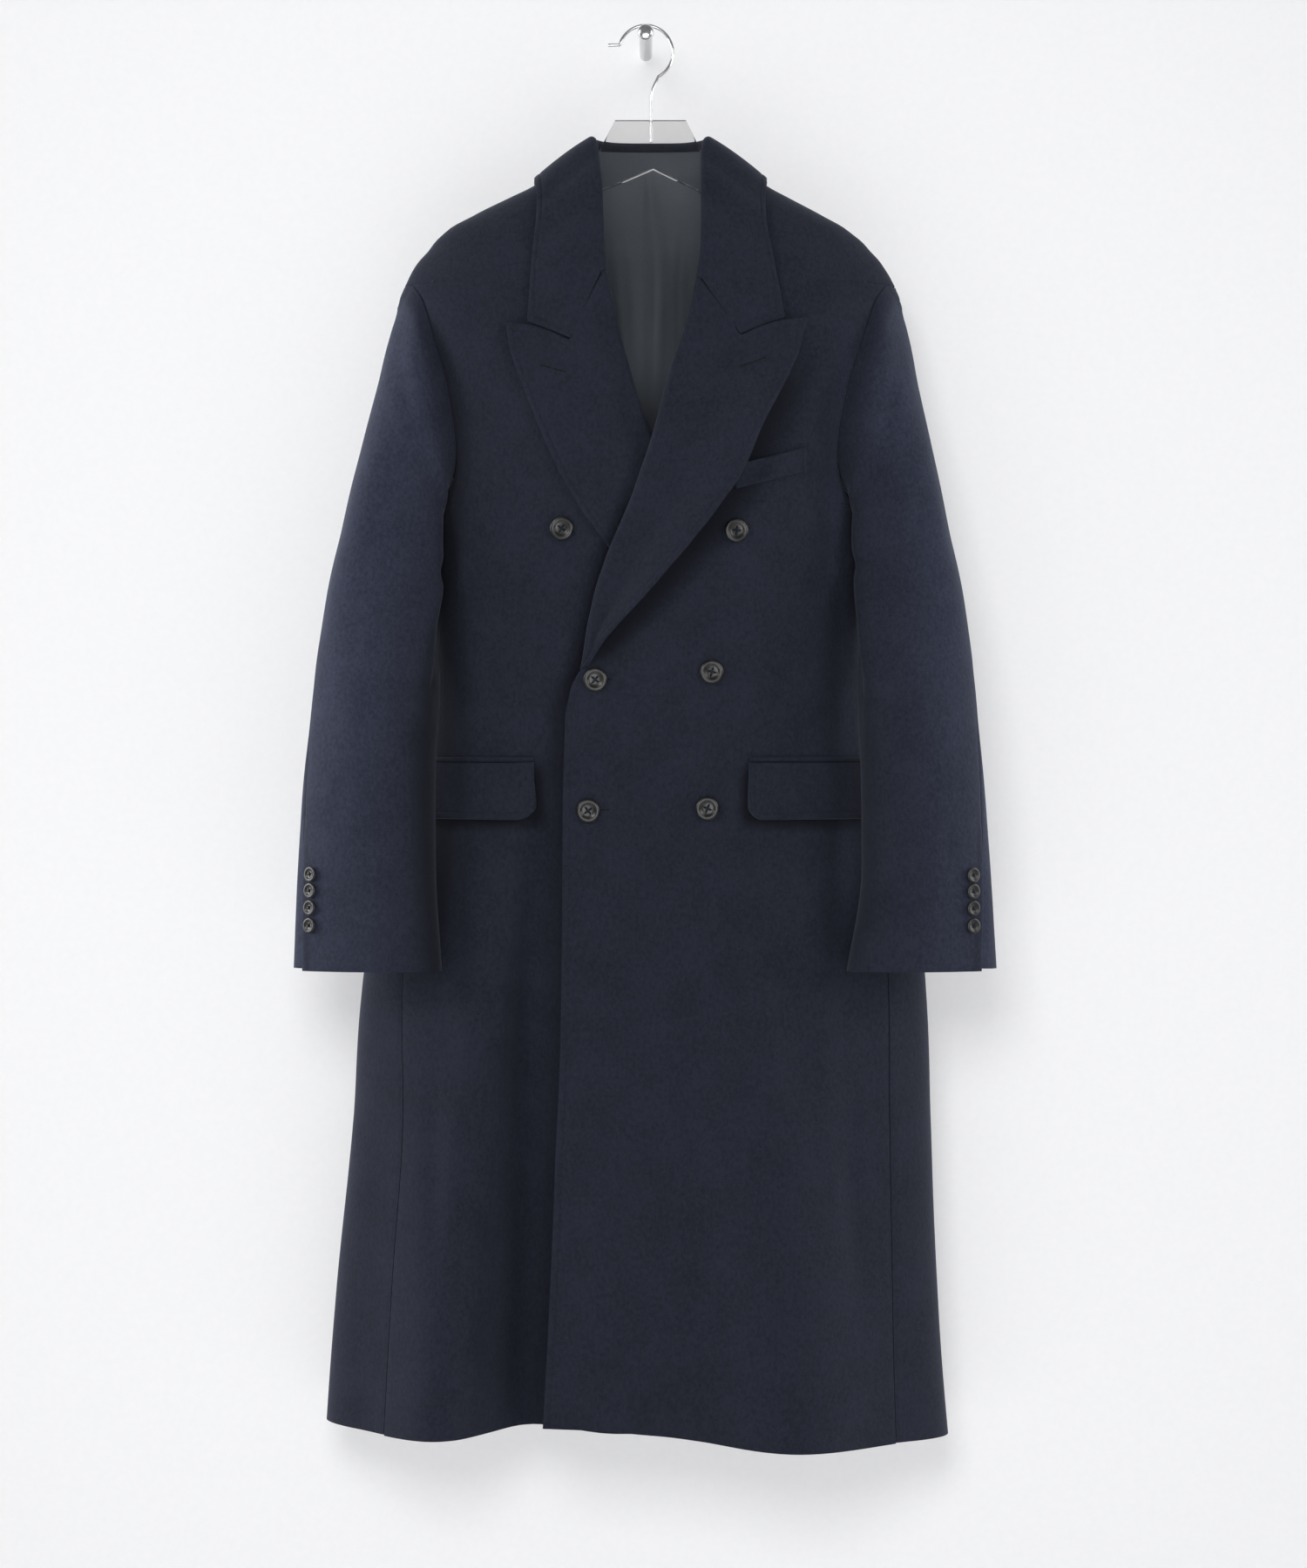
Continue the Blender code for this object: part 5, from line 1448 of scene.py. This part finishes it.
def strand(start, end, shift, crossing):
    """Path of one strand from hole to hole, set to one side by shift. The upper pair of strands is raised."""
    start, end = Vector(start), Vector(end)
    run = end - start
    beside = Vector((-run.y, run.x)).normalized() * shift
    path = []
    for i in range(STRAND_STEPS + 1):
        u = i / STRAND_STEPS
        arch = math.sin(math.pi * u)
        dive = STRAND_DIVE if i in (0, STRAND_STEPS) else 0.0
        rise = STRAND_BED + STRAND_ARCH * abs(arch) ** 0.5 - dive + crossing * arch
        path.append((*(start + run * u + beside), rise))
    return path


def thread_mesh():
    """A cross of thread over the four holes of a button of radius 1, with its shank below."""
    holes = hole_centres()
    strands = []
    for start, end, crossing in ((0, 2, 0.0), (1, 3, STRAND_CROSSING)):
        for shift in (-STRAND_SHIFT, STRAND_SHIFT):
            strands.append(wire_mesh(strand(holes[start], holes[end], shift, crossing), THREAD, sides=2))
    return joined(strands + [spun(SHANK_PROFILE, SHANK_STEPS)])


def make_buttons():
    disc = button_mesh()
    thread = thread_mesh()

    def sew(name, node, seat, outward, radius, spin):
        turn = outward.to_track_quat("Z", "Y").to_matrix().to_4x4()
        spun_round = Matrix.Rotation(math.radians(spin), 4, "Z")
        at = Matrix.Translation(seat) @ turn @ spun_round @ Matrix.Scale(radius, 4)
        for kind, slot, source in (("button", "button", disc), ("thread", "wool", thread)):
            mesh = source.copy()
            mesh.transform(at)
            finished(f"{name}_{kind}", mesh, [node], materials[kind])

    for number, spot in enumerate(FRONT_BUTTONS, 1):
        at = np.array([spot.x]), np.array([spot.z])
        seat = Vector(front_point(spot.side, *at, BUTTON_LIFT)[0])
        outward = (Vector(front_point(spot.side, *at, BUTTON_LIFT + 0.01)[0]) - seat).normalized()
        sew(f"front_{number}", f"button_front_{number}", seat, outward, FRONT_BUTTON_RADIUS, spot.spin)
    for side, angle in CUFF_BUTTON_ANGLES.items():
        for number, share in enumerate(CUFF_BUTTON_SHARES, 1):
            at = np.array([share]), np.array([angle])
            outward = Vector(sleeve_outward(side, *at)[0])
            seat = Vector(sleeve_point(side, *at)[0]) + outward * BUTTON_LIFT
            spin = CUFF_BUTTON_SPIN["first"] + CUFF_BUTTON_SPIN["step"] * (number - 1)
            name = f"{side}_cuff_{number}"
            sew(name, f"button_cuff_{side}_{number}", seat, outward, CUFF_BUTTON_RADIUS, spin)
    bpy.data.meshes.remove(disc)
    bpy.data.meshes.remove(thread)


# Buttonholes: start and end across X and Z, on the piece that they are sewn in
Buttonhole = namedtuple("Buttonhole", "name piece node x_start z_start x_end z_end eyelet")
BUTTONHOLES = [
    Buttonhole("right_lapel", "right_lapel", "lapel_right", -0.0930, -0.3185, -0.0715, -0.3250, 0.0017),
    Buttonhole("left_lapel", "left_lapel", "lapel_left", 0.1080, -0.3125, 0.0845, -0.3205, 0.0019),
    Buttonhole("upper_front", "left_front", "front_left_waist", -0.0500, -0.6010, -0.0295, -0.6008, 0.0014),
    Buttonhole("lower_front", "left_front", "front_left_hip", -0.0570, -0.7190, -0.0325, -0.7186, 0.0014),
]
PURL = 0.00050
PURL_LIFT = 0.0001
HOLE_HALF = 0.00075
HOLE_START = 0.12
SLIT_RADIUS = HOLE_HALF * 0.55
SLIT_LIFT = -0.00005
EYELET_OPENING = 35.0


def even_steps(start, end, count):
    return [mix(start, end, i / (count - 1)) for i in range(count)]


def purl_outline(hole, start, run):
    """The purl's line round a buttonhole: round the eyelet, out along one side and back along the other."""
    along = run.normalized()
    across = Vector((-along.y, along.x))
    outline = []
    for angle in even_steps(EYELET_OPENING, 360.0 - EYELET_OPENING, 9):
        turn = math.radians(angle)
        outline.append(start + hole.eyelet * (along * math.cos(turn) + across * math.sin(turn)))
    outline += [start + run * share - across * HOLE_HALF for share in even_steps(HOLE_START, 1.0, 14)]
    outline += [start + run * share + across * HOLE_HALF for share in even_steps(1.0, HOLE_START, 14)]
    return outline


def make_buttonholes():
    ready = bpy.context.evaluated_depsgraph_get()
    for hole in BUTTONHOLES:
        surface = BVHTree.FromObject(pieces[hole.piece], ready)

        def laid(spot, lift):
            point, normal, *_ = surface.ray_cast(Vector((spot.x, -1.0, spot.y)), Vector((0.0, 1.0, 0.0)))
            return point + normal * lift

        start = Vector((hole.x_start, hole.z_start))
        run = Vector((hole.x_end, hole.z_end)) - start
        name = f"{hole.name}_buttonhole"
        outline = [laid(spot, PURL_LIFT) for spot in purl_outline(hole, start, run)]
        purl = wire_mesh(outline, PURL, closed=True, sides=2)
        finished(name, purl, [hole.node], materials["thread"])
        # The slit: a near-black strip of painted shade along the buttonhole's cut.
        middle = [laid(start + run * share, SLIT_LIFT) for share in even_steps(0.0, 1.0, 16)]
        slit = wire_mesh(middle, SLIT_RADIUS, sides=2)
        finished(f"{name}_slit", slit, [hole.node], materials["slit"])


# Hanger: a clear plate with softened edges, its wire hook, and the peg
PLATE_EDGE = 0.0009
HOOK_POINTS = 61
STEM_POINTS = 24
PEG_STEPS = 56


def arm_points(points, sign):
    return [(HANGER_MIDDLE + sign * x, z) for x, z in points]


def make_plate():
    outline = (
        PLATE_TOP
        + arm_points(ARM_TOP + ARM_END + ARM_BOTTOM, 1)
        + [(PLATE_ARCH, PLATE_ARCH_Z)]
        + arm_points((ARM_TOP + ARM_END + ARM_BOTTOM)[::-1], -1)
    )
    plate = bmesh.new()
    face = plate.faces.new([plate.verts.new((x, -PLATE_THICK / 2, z)) for x, z in outline])
    pushed = bmesh.ops.extrude_face_region(plate, geom=[face])
    moved = [item for item in pushed["geom"] if isinstance(item, bmesh.types.BMVert)]
    bmesh.ops.translate(plate, verts=moved, vec=(0.0, PLATE_THICK, 0.0))
    bmesh.ops.recalc_face_normals(plate, faces=plate.faces)
    sides = [face for face in plate.faces if len(face.verts) > 4]
    rims = [edge for edge in plate.edges if any(side in sides for side in edge.link_faces)]
    bmesh.ops.bevel(
        plate,
        geom=rims,
        offset=PLATE_EDGE,
        segments=3,
        profile=0.5,
        affect="EDGES",
        material=-1,
        clamp_overlap=True,
    )
    mesh = bpy.data.meshes.new("plate")
    plate.to_mesh(mesh)
    plate.free()
    finished("clear_hanger_plate", mesh, ["hanger_plate"], materials["acrylic"])


def make_hook():
    middle_z = WIRE_RADIUS - HOOK_RADIUS
    arc = [math.radians(angle) for angle in even_steps(HOOK_ARC_START, HOOK_ARC_END, HOOK_POINTS)]
    crown = [(HOOK_RADIUS * math.cos(a), middle_z + HOOK_RADIUS * math.sin(a)) for a in arc]
    stem_x, stem_z = zip(*HOOK_STEM)
    stem = Curve([-z for z in stem_z], stem_x)
    drops = np.linspace(-stem_z[0], -stem_z[-1], STEM_POINTS)
    stem_points = [(float(x), float(-drop)) for x, drop in zip(stem(drops), drops)]
    path = [(x, 0.0, z) for x, z in HOOK_TIP + crown + stem_points]
    finished("wire_hook", wire_mesh(path, WIRE_RADIUS, sides=5), ["hanger_hook"], materials["wire"])


def make_peg():
    reach = WALL_Y - PEG_HEAD_END
    head = PEG_HEAD_START - PEG_HEAD_END
    profile = [
        (0.0, reach),
        (PEG_HEAD - 0.0026, reach - 0.0002),
        (PEG_HEAD - 0.0012, reach - 0.0008),
        (PEG_HEAD - 0.0003, reach - 0.0018),
        (PEG_HEAD, reach - 0.0030),
        (PEG_HEAD, reach - head + 0.0014),
        (PEG_HEAD - 0.0005, reach - head + 0.0004),
        (PEG_NECK + 0.0003, reach - head),
        (PEG_NECK, reach - head - 0.0006),
        (PEG_NECK, 0.0),
        (0.0, 0.0),
    ]
    peg = spun(profile, PEG_STEPS)
    seat = Matrix.Translation((0.0, WALL_Y, -PEG_NECK - PEG_DROP))
    peg.transform(seat @ Matrix.Rotation(math.pi / 2, 4, "X"))
    finished("wall_peg_head", peg, ["wall_peg"], materials["wire"])


# Materials
WOOL_DARK = (0.0086, 0.0103, 0.0184)
WOOL_LIGHT = (0.0172, 0.0199, 0.0330)
# Painted light and shade of the wool: a lighter copy twice as bright, and a darker tone at this share of the
# dark wool.
PAINTED_LIGHT_GAIN = 2.0
PAINTED_SHADE_TONE = 0.42
WOOL_SHEEN = (0.62, 0.68, 0.86, 1.0)
LINT = (0.30, 0.32, 0.36)
THREAD_TONES = ((0.0065, 0.0080, 0.0125), (0.0200, 0.0230, 0.0330))
# The buttonhole's slit is near black: painted shade inside the cut.
SLIT_PAINTED_SHADE_TONES = ((0.001, 0.001, 0.002), (0.003, 0.003, 0.004))
LINING_TONES = ((0.0600, 0.0700, 0.0850), (0.0780, 0.0900, 0.1080))
# Painted light: the lining turns far lighter towards its bottom, where the lapels shade it, across this band
# of heights.
LINING_PAINTED_LIGHT = (0.185, 0.212, 0.250)
LINING_PAINTED_LIGHT_BAND = (-0.37, -0.22)
HORN_TONES = ((0.0045, 0.0046, 0.0050), (0.0160, 0.0150, 0.0125))
WIRE_TONES = ((0.62, 0.63, 0.64), (0.78, 0.79, 0.80))
ACRYLIC_TONES = ((0.72, 0.715, 0.715), (0.78, 0.775, 0.775))
ACRYLIC_SHADOW = (0.84, 0.85, 0.86, 1.0)
PAINT_TONES = ((0.84, 0.84, 0.85), (0.88, 0.88, 0.885))


class Nodes:
    """A node tree with short ways to add and link its nodes."""

    def __init__(self, tree):
        self.tree = tree

    def add(self, kind, settings=None, **values):
        node = self.tree.nodes.new(kind)
        for key, value in (settings or {}).items():
            setattr(node, key, value)
        for key, value in values.items():
            self.put(node.inputs[key.replace("_", " ")], value)
        return node

    def put(self, socket, value):
        if isinstance(value, bpy.types.NodeSocket):
            self.tree.links.new(value, socket)
        else:
            socket.default_value = value

    def math(self, operation, *values):
        node = self.tree.nodes.new("ShaderNodeMath")
        node.operation = operation
        for socket, value in zip(node.inputs, values):
            self.put(socket, value)
        return node.outputs[0]

    def blend(self, share, a, b):
        node = self.tree.nodes.new("ShaderNodeMix")
        node.data_type = "RGBA"
        self.put(node.inputs[0], share)
        self.put(node.inputs[6], a if isinstance(a, bpy.types.NodeSocket) else (*a, 1.0))
        self.put(node.inputs[7], b if isinstance(b, bpy.types.NodeSocket) else (*b, 1.0))
        return node.outputs[2]

    def noise(self, at, **values):
        return self.add("ShaderNodeTexNoise", Vector=at, **values).outputs[0]

    def bump(self, height, strength, distance):
        return self.add("ShaderNodeBump", Strength=strength, Distance=distance, Height=height).outputs[0]

    def attribute(self, name):
        return self.add("ShaderNodeAttribute", {"attribute_name": name}).outputs["Fac"]

    def either(self, share, first, second):
        """The material's surface: the first shader where share is 0, the second where it is 1."""
        node = self.tree.nodes.new("ShaderNodeMixShader")
        for socket, value in zip(node.inputs, (share, first, second)):
            self.put(socket, value)
        self.put(self.tree.nodes["Material Output"].inputs["Surface"], node.outputs[0])

    def band(self, value, low, high):
        """0 below low, 1 above high."""
        node = self.tree.nodes.new("ShaderNodeMapRange")
        node.interpolation_type = "SMOOTHSTEP"
        self.put(node.inputs[0], value)
        node.inputs[1].default_value = low
        node.inputs[2].default_value = high
        return node.outputs[0]


def new_group(name, inputs, outputs):
    """A node group of values and vectors, with its two ends."""
    tree = bpy.data.node_groups.new(name, "ShaderNodeTree")
    for label, kind in inputs:
        tree.interface.new_socket(label, in_out="INPUT", socket_type=kind)
    for label, kind in outputs:
        tree.interface.new_socket(label, in_out="OUTPUT", socket_type=kind)
    group = Nodes(tree)
    return group, group.add("NodeGroupInput"), group.add("NodeGroupOutput")


FLOAT = "NodeSocketFloat"
VECTOR = "NodeSocketVector"


def nap_group():
    """Raised wool: short fibres, felted patches and a few specks of lint."""
    masks = [("Tone", FLOAT), ("Height", FLOAT), ("Lint", FLOAT)]
    group, ins, outs = new_group("wool nap", [("Vector", VECTOR)], masks)
    at = ins.outputs["Vector"]
    combed = group.add("ShaderNodeMapping", Vector=at, Scale=(1.0, 1.0, 0.75)).outputs[0]
    fibre = group.noise(combed, Scale=1500.0, Detail=3.0, Roughness=0.65)
    patch = group.noise(combed, Scale=330.0, Detail=4.0, Roughness=0.6)
    broad = group.noise(at, Scale=26.0, Detail=3.0, Roughness=0.5)
    tone = group.math("ADD", group.math("MULTIPLY", fibre, 0.42), group.math("MULTIPLY", patch, 0.40))
    tone = group.math("ADD", tone, group.math("MULTIPLY", broad, 0.18))
    group.put(outs.inputs["Tone"], group.band(tone, 0.36, 0.64))
    height = group.math("ADD", group.math("MULTIPLY", fibre, 0.5), group.math("MULTIPLY", patch, 0.9))
    group.put(outs.inputs["Height"], height)
    cells = group.add("ShaderNodeTexVoronoi", Vector=at, Scale=11.0)
    near = group.math("SUBTRACT", 1.0, group.band(cells.outputs["Distance"], 0.006, 0.012))
    rare = group.add("ShaderNodeSeparateColor", Color=cells.outputs["Color"]).outputs[0]
    group.put(outs.inputs["Lint"], group.math("MULTIPLY", near, group.band(rare, 0.80, 0.81)))
    return group.tree


def stitch_group():
    """Marks of a row of stitches a set way in from an edge."""
    group, ins, outs = new_group("edge stitches", [("Gap", FLOAT), ("Run", FLOAT)], [("Mask", FLOAT)])
    off = group.math("ABSOLUTE", group.math("SUBTRACT", ins.outputs["Gap"], STITCH_LINE))
    on_line = group.math("SUBTRACT", 1.0, group.band(off, 0.0003, 0.0009))
    wave = group.math("SINE", group.math("MULTIPLY", ins.outputs["Run"], 2 * math.pi / STITCH_LENGTH))
    group.put(outs.inputs["Mask"], group.math("MULTIPLY", on_line, group.band(wave, -0.2, 0.5)))
    return group.tree


def new_material(name):
    material = bpy.data.materials.new(name)
    material.use_nodes = True
    tree = Nodes(material.node_tree)
    shader = material.node_tree.nodes["Principled BSDF"]
    at = tree.add("ShaderNodeTexCoord").outputs["Object"]
    return material, tree, shader, at


def set_shader(shader, **values):
    for key, value in values.items():
        shader.inputs[key.replace("_", " ")].default_value = value


nap_nodes = nap_group()
stitch_nodes = stitch_group()


def wool_material(name, tones, bump, lint, stitched):
    material, tree, shader, at = new_material(name)
    pile = tree.add("ShaderNodeGroup", {"node_tree": nap_nodes}, Vector=at)
    colour = tree.blend(pile.outputs["Tone"], *tones)
    # Painted light and shade kept with the cloth: above 0 the colour blends to the lighter copy, below 0 to
    # the darker tone.
    nap = tree.attribute("painted_light_and_shade")
    lit = tree.blend(pile.outputs["Tone"], *[[value * PAINTED_LIGHT_GAIN for value in tone] for tone in tones])
    colour = tree.blend(tree.math("MAXIMUM", nap, 0.0), colour, lit)
    pressed = tree.math("MAXIMUM", tree.math("MULTIPLY", nap, -1.0), 0.0)
    colour = tree.blend(pressed, colour, [value * PAINTED_SHADE_TONE for value in tones[0]])
    height = pile.outputs["Height"]
    if stitched:
        edge = {"Gap": tree.attribute("edge_gap"), "Run": tree.attribute("edge_run")}
        row = tree.add("ShaderNodeGroup", {"node_tree": stitch_nodes}, **edge).outputs["Mask"]
        colour = tree.blend(tree.math("MULTIPLY", row, 0.5), colour, tones[0])
        height = tree.math("SUBTRACT", height, tree.math("MULTIPLY", row, 0.8))
    if lint:
        colour = tree.blend(pile.outputs["Lint"], colour, LINT)
    tree.put(shader.inputs["Base Color"], colour)
    tree.put(shader.inputs["Normal"], tree.bump(height, bump, 0.0006))
    set_shader(shader, Roughness=0.93, Specular_IOR_Level=0.18)
    set_shader(shader, Sheen_Weight=0.10, Sheen_Roughness=0.5, Sheen_Tint=WOOL_SHEEN)
    return material


def lining_material():
    material, tree, shader, at = new_material("grey satin lining")
    threads = tree.add("ShaderNodeMapping", Vector=at, Scale=(1.0, 1.0, 0.12)).outputs[0]
    yarn = tree.noise(threads, Scale=2600.0, Detail=2.0)
    cloud = tree.noise(at, Scale=30.0, Detail=2.0)
    share = tree.math("ADD", tree.math("MULTIPLY", yarn, 0.7), tree.math("MULTIPLY", cloud, 0.3))
    satin = tree.blend(tree.band(share, 0.3, 0.7), *LINING_TONES)
    # Painted light: the lining is lighter below the band, where the lapels shade it.
    height = tree.add("ShaderNodeSeparateXYZ", Vector=at).outputs[2]
    tree.put(shader.inputs["Base Color"], tree.blend(tree.band(height, *LINING_PAINTED_LIGHT_BAND), LINING_PAINTED_LIGHT, satin))
    tree.put(shader.inputs["Normal"], tree.bump(yarn, 0.12, 0.0002))
    set_shader(shader, Roughness=0.55, Sheen_Weight=0.06, Sheen_Roughness=0.4, Specular_IOR_Level=0.3)
    return material


def horn_material():
    material, tree, shader, at = new_material("dark horn")
    grain = tree.add("ShaderNodeMapping", Vector=at, Rotation=(0.3, 0.6, 0.2), Scale=(1.0, 1.0, 0.25))
    cloud = tree.noise(grain.outputs[0], Scale=170.0, Detail=3.0, Distortion=0.8)
    tree.put(shader.inputs["Base Color"], tree.blend(tree.band(cloud, 0.46, 0.72), *HORN_TONES))
    wear = tree.noise(at, Scale=900.0, Detail=2.0)
    tree.put(shader.inputs["Roughness"], tree.math("ADD", 0.24, tree.math("MULTIPLY", wear, 0.14)))
    set_shader(shader, IOR=1.54, Coat_Weight=0.15, Coat_Roughness=0.2, Specular_IOR_Level=0.42)
    return material


def wire_material():
    material, tree, shader, at = new_material("polished wire")
    drawn = tree.noise(at, Scale=420.0, Detail=3.0)
    tree.put(shader.inputs["Base Color"], tree.blend(tree.band(drawn, 0.35, 0.65), *WIRE_TONES))
    tree.put(shader.inputs["Roughness"], tree.math("ADD", 0.10, tree.math("MULTIPLY", drawn, 0.12)))
    set_shader(shader, Metallic=1.0)
    return material


def acrylic_material():
    material, tree, shader, at = new_material("clear acrylic")
    smear = tree.noise(at, Scale=34.0, Detail=4.0)
    dull = tree.math("MULTIPLY", tree.band(smear, 0.5, 0.8), 0.05)
    tree.put(shader.inputs["Roughness"], tree.math("ADD", 0.01, dull))
    tree.put(shader.inputs["Base Color"], tree.blend(smear, *ACRYLIC_TONES))
    set_shader(shader, Transmission_Weight=1.0, IOR=1.3)
    clear = tree.add("ShaderNodeBsdfTransparent", Color=ACRYLIC_SHADOW)
    shadow = tree.add("ShaderNodeLightPath").outputs["Is Shadow Ray"]
    tree.either(shadow, shader.outputs[0], clear.outputs[0])
    return material


def paint_material(name, one_sided):
    material, tree, shader, at = new_material(name)
    roll = tree.noise(at, Scale=160.0, Detail=4.0)
    tree.put(shader.inputs["Base Color"], tree.blend(roll, *PAINT_TONES))
    tree.put(shader.inputs["Normal"], tree.bump(roll, 0.02, 0.0005))
    set_shader(shader, Roughness=0.85, Specular_IOR_Level=0.2)
    if one_sided:
        back = tree.add("ShaderNodeNewGeometry").outputs["Backfacing"]
        shadow = tree.add("ShaderNodeLightPath").outputs["Is Shadow Ray"]
        clear = tree.add("ShaderNodeBsdfTransparent")
        tree.either(tree.math("MAXIMUM", back, shadow), shader.outputs[0], clear.outputs[0])
    return material


materials = {
    "wool": wool_material("navy wool", (WOOL_DARK, WOOL_LIGHT), 0.42, True, True),
    "thread": wool_material("navy thread", THREAD_TONES, 0.3, False, False),
    "slit": wool_material("buttonhole slit", SLIT_PAINTED_SHADE_TONES, 0.2, False, False),
    "lining": lining_material(),
    "button": horn_material(),
    "wire": wire_material(),
    "acrylic": acrylic_material(),
}


make_fronts()
make_backs()
make_lining()
make_sleeves()
make_lapels()
make_collar()
make_pockets()
make_buttons()
make_buttonholes()
make_plate()
make_hook()
make_peg()

# Fields for what a sheet was cut to before it was hung, and what it hangs from or lies on; nothing here uses
# them
Cut = namedtuple("Cut", "width length rests_on with_pieces")

# Stage: a pale wall that shows from its front only, and a pale floor
FLOOR_Z = -1.80
STAGE_SIZE = 9.0
WALL_GAP = 0.0005


def flat_stage(name, matrix, material):
    board = bmesh.new()
    bmesh.ops.create_grid(board, x_segments=1, y_segments=1, size=STAGE_SIZE / 2, matrix=matrix)
    mesh = bpy.data.meshes.new(name)
    board.to_mesh(mesh)
    board.free()
    mesh.materials.append(material)
    made = bpy.data.objects.new(name, mesh)
    bpy.context.scene.collection.objects.link(made)
    return made


upright = Matrix.Rotation(math.pi / 2, 4, "X")
wall_place = Matrix.Translation((0.0, WALL_Y + WALL_GAP, FLOOR_Z + STAGE_SIZE / 2)) @ upright
wall = flat_stage("pale_wall", wall_place, paint_material("pale wall paint", True))
floor_place = Matrix.Translation((0.0, 0.0, FLOOR_Z))
floor = flat_stage("pale_floor", floor_place, paint_material("pale floor paint", False))

# Lights. The wall and floor have lights of their own, one of them with no shadow, and the coat's miss them
Light = namedtuple("Light", "name falls_on place target size power colour")
LIGHTS = [
    Light("wall wash", "bare stage", (0.0, -3.6, -0.60), (0.0, 0.0, -0.90), 2.0, 68.0, (1.0, 1.0, 1.0)),
    Light("wall light", "stage", (-0.40, -3.2, 0.50), (0.0, 0.0, -0.90), 1.2, 36.0, (1.0, 1.0, 1.0)),
    Light("left key", "coat", (-2.2, -2.3, 0.60), (0.0, 0.0, -0.80), 1.0, 27.0, (1.0, 0.995, 0.985)),
    Light("right key", "coat", (2.3, -2.3, 0.20), (0.0, 0.0, -0.70), 1.4, 25.0, (1.0, 0.995, 0.985)),
    Light("front fill", "coat", (0.0, -3.3, -0.90), (0.0, 0.0, -0.70), 1.6, 33.0, (1.0, 1.0, 1.0)),
    Light("left side", "coat", (-2.2, 0.10, -0.35), (-0.2, 0.0, -0.6), 1.2, 36.0, (1.0, 1.0, 1.0)),
    Light("right side", "coat", (2.2, 0.10, -0.35), (0.2, 0.0, -0.6), 1.2, 20.0, (1.0, 1.0, 1.0)),
    Light("back light", "coat", (-0.6, 3.2, 0.4), (0.0, 0.0, -0.7), 2.2, 40.0, (1.0, 1.0, 1.0)),
]
light_falls_on = {}
for name, state in (("bare stage", "INCLUDE"), ("stage", "INCLUDE"), ("coat", "EXCLUDE")):
    light_falls_on[name] = bpy.data.collections.new(f"light on {name}")
    for board in (wall, floor):
        light_falls_on[name].objects.link(board)
    for entry in light_falls_on[name].collection_objects:
        entry.light_linking.link_state = state
for light in LIGHTS:
    data = bpy.data.lights.new(light.name, "AREA")
    data.size = light.size
    data.energy = light.power
    data.color = light.colour
    lamp = bpy.data.objects.new(light.name, data)
    lamp.location = light.place
    lamp.rotation_euler = (Vector(light.target) - Vector(light.place)).to_track_quat("-Z", "Y").to_euler()
    lamp.visible_camera = False
    lamp.light_linking.receiver_collection = light_falls_on[light.falls_on]
    if light.falls_on == "bare stage":
        lamp.light_linking.blocker_collection = light_falls_on[light.falls_on]
    bpy.context.scene.collection.objects.link(lamp)

world = bpy.data.worlds.new("studio")
world.use_nodes = True
sky = world.node_tree.nodes["Background"]
sky.inputs["Color"].default_value = (0.92, 0.93, 0.95, 1.0)
sky.inputs["Strength"].default_value = 0.24
bpy.context.scene.world = world
bpy.context.scene.view_settings.view_transform = "Standard"

# Camera, level and square to the wall
LENS = 80.0
SENSOR_WIDTH = 36.0
CAMERA_PLACE = (0.0072, -3.2, -0.6952)
camera_data = bpy.data.cameras.new("front view")
camera_data.lens = LENS
camera_data.sensor_width = SENSOR_WIDTH
camera = bpy.data.objects.new("front view", camera_data)
camera.location = CAMERA_PLACE
camera.rotation_euler = (math.pi / 2, 0.0, 0.0)
bpy.context.scene.collection.objects.link(camera)
bpy.context.scene.camera = camera
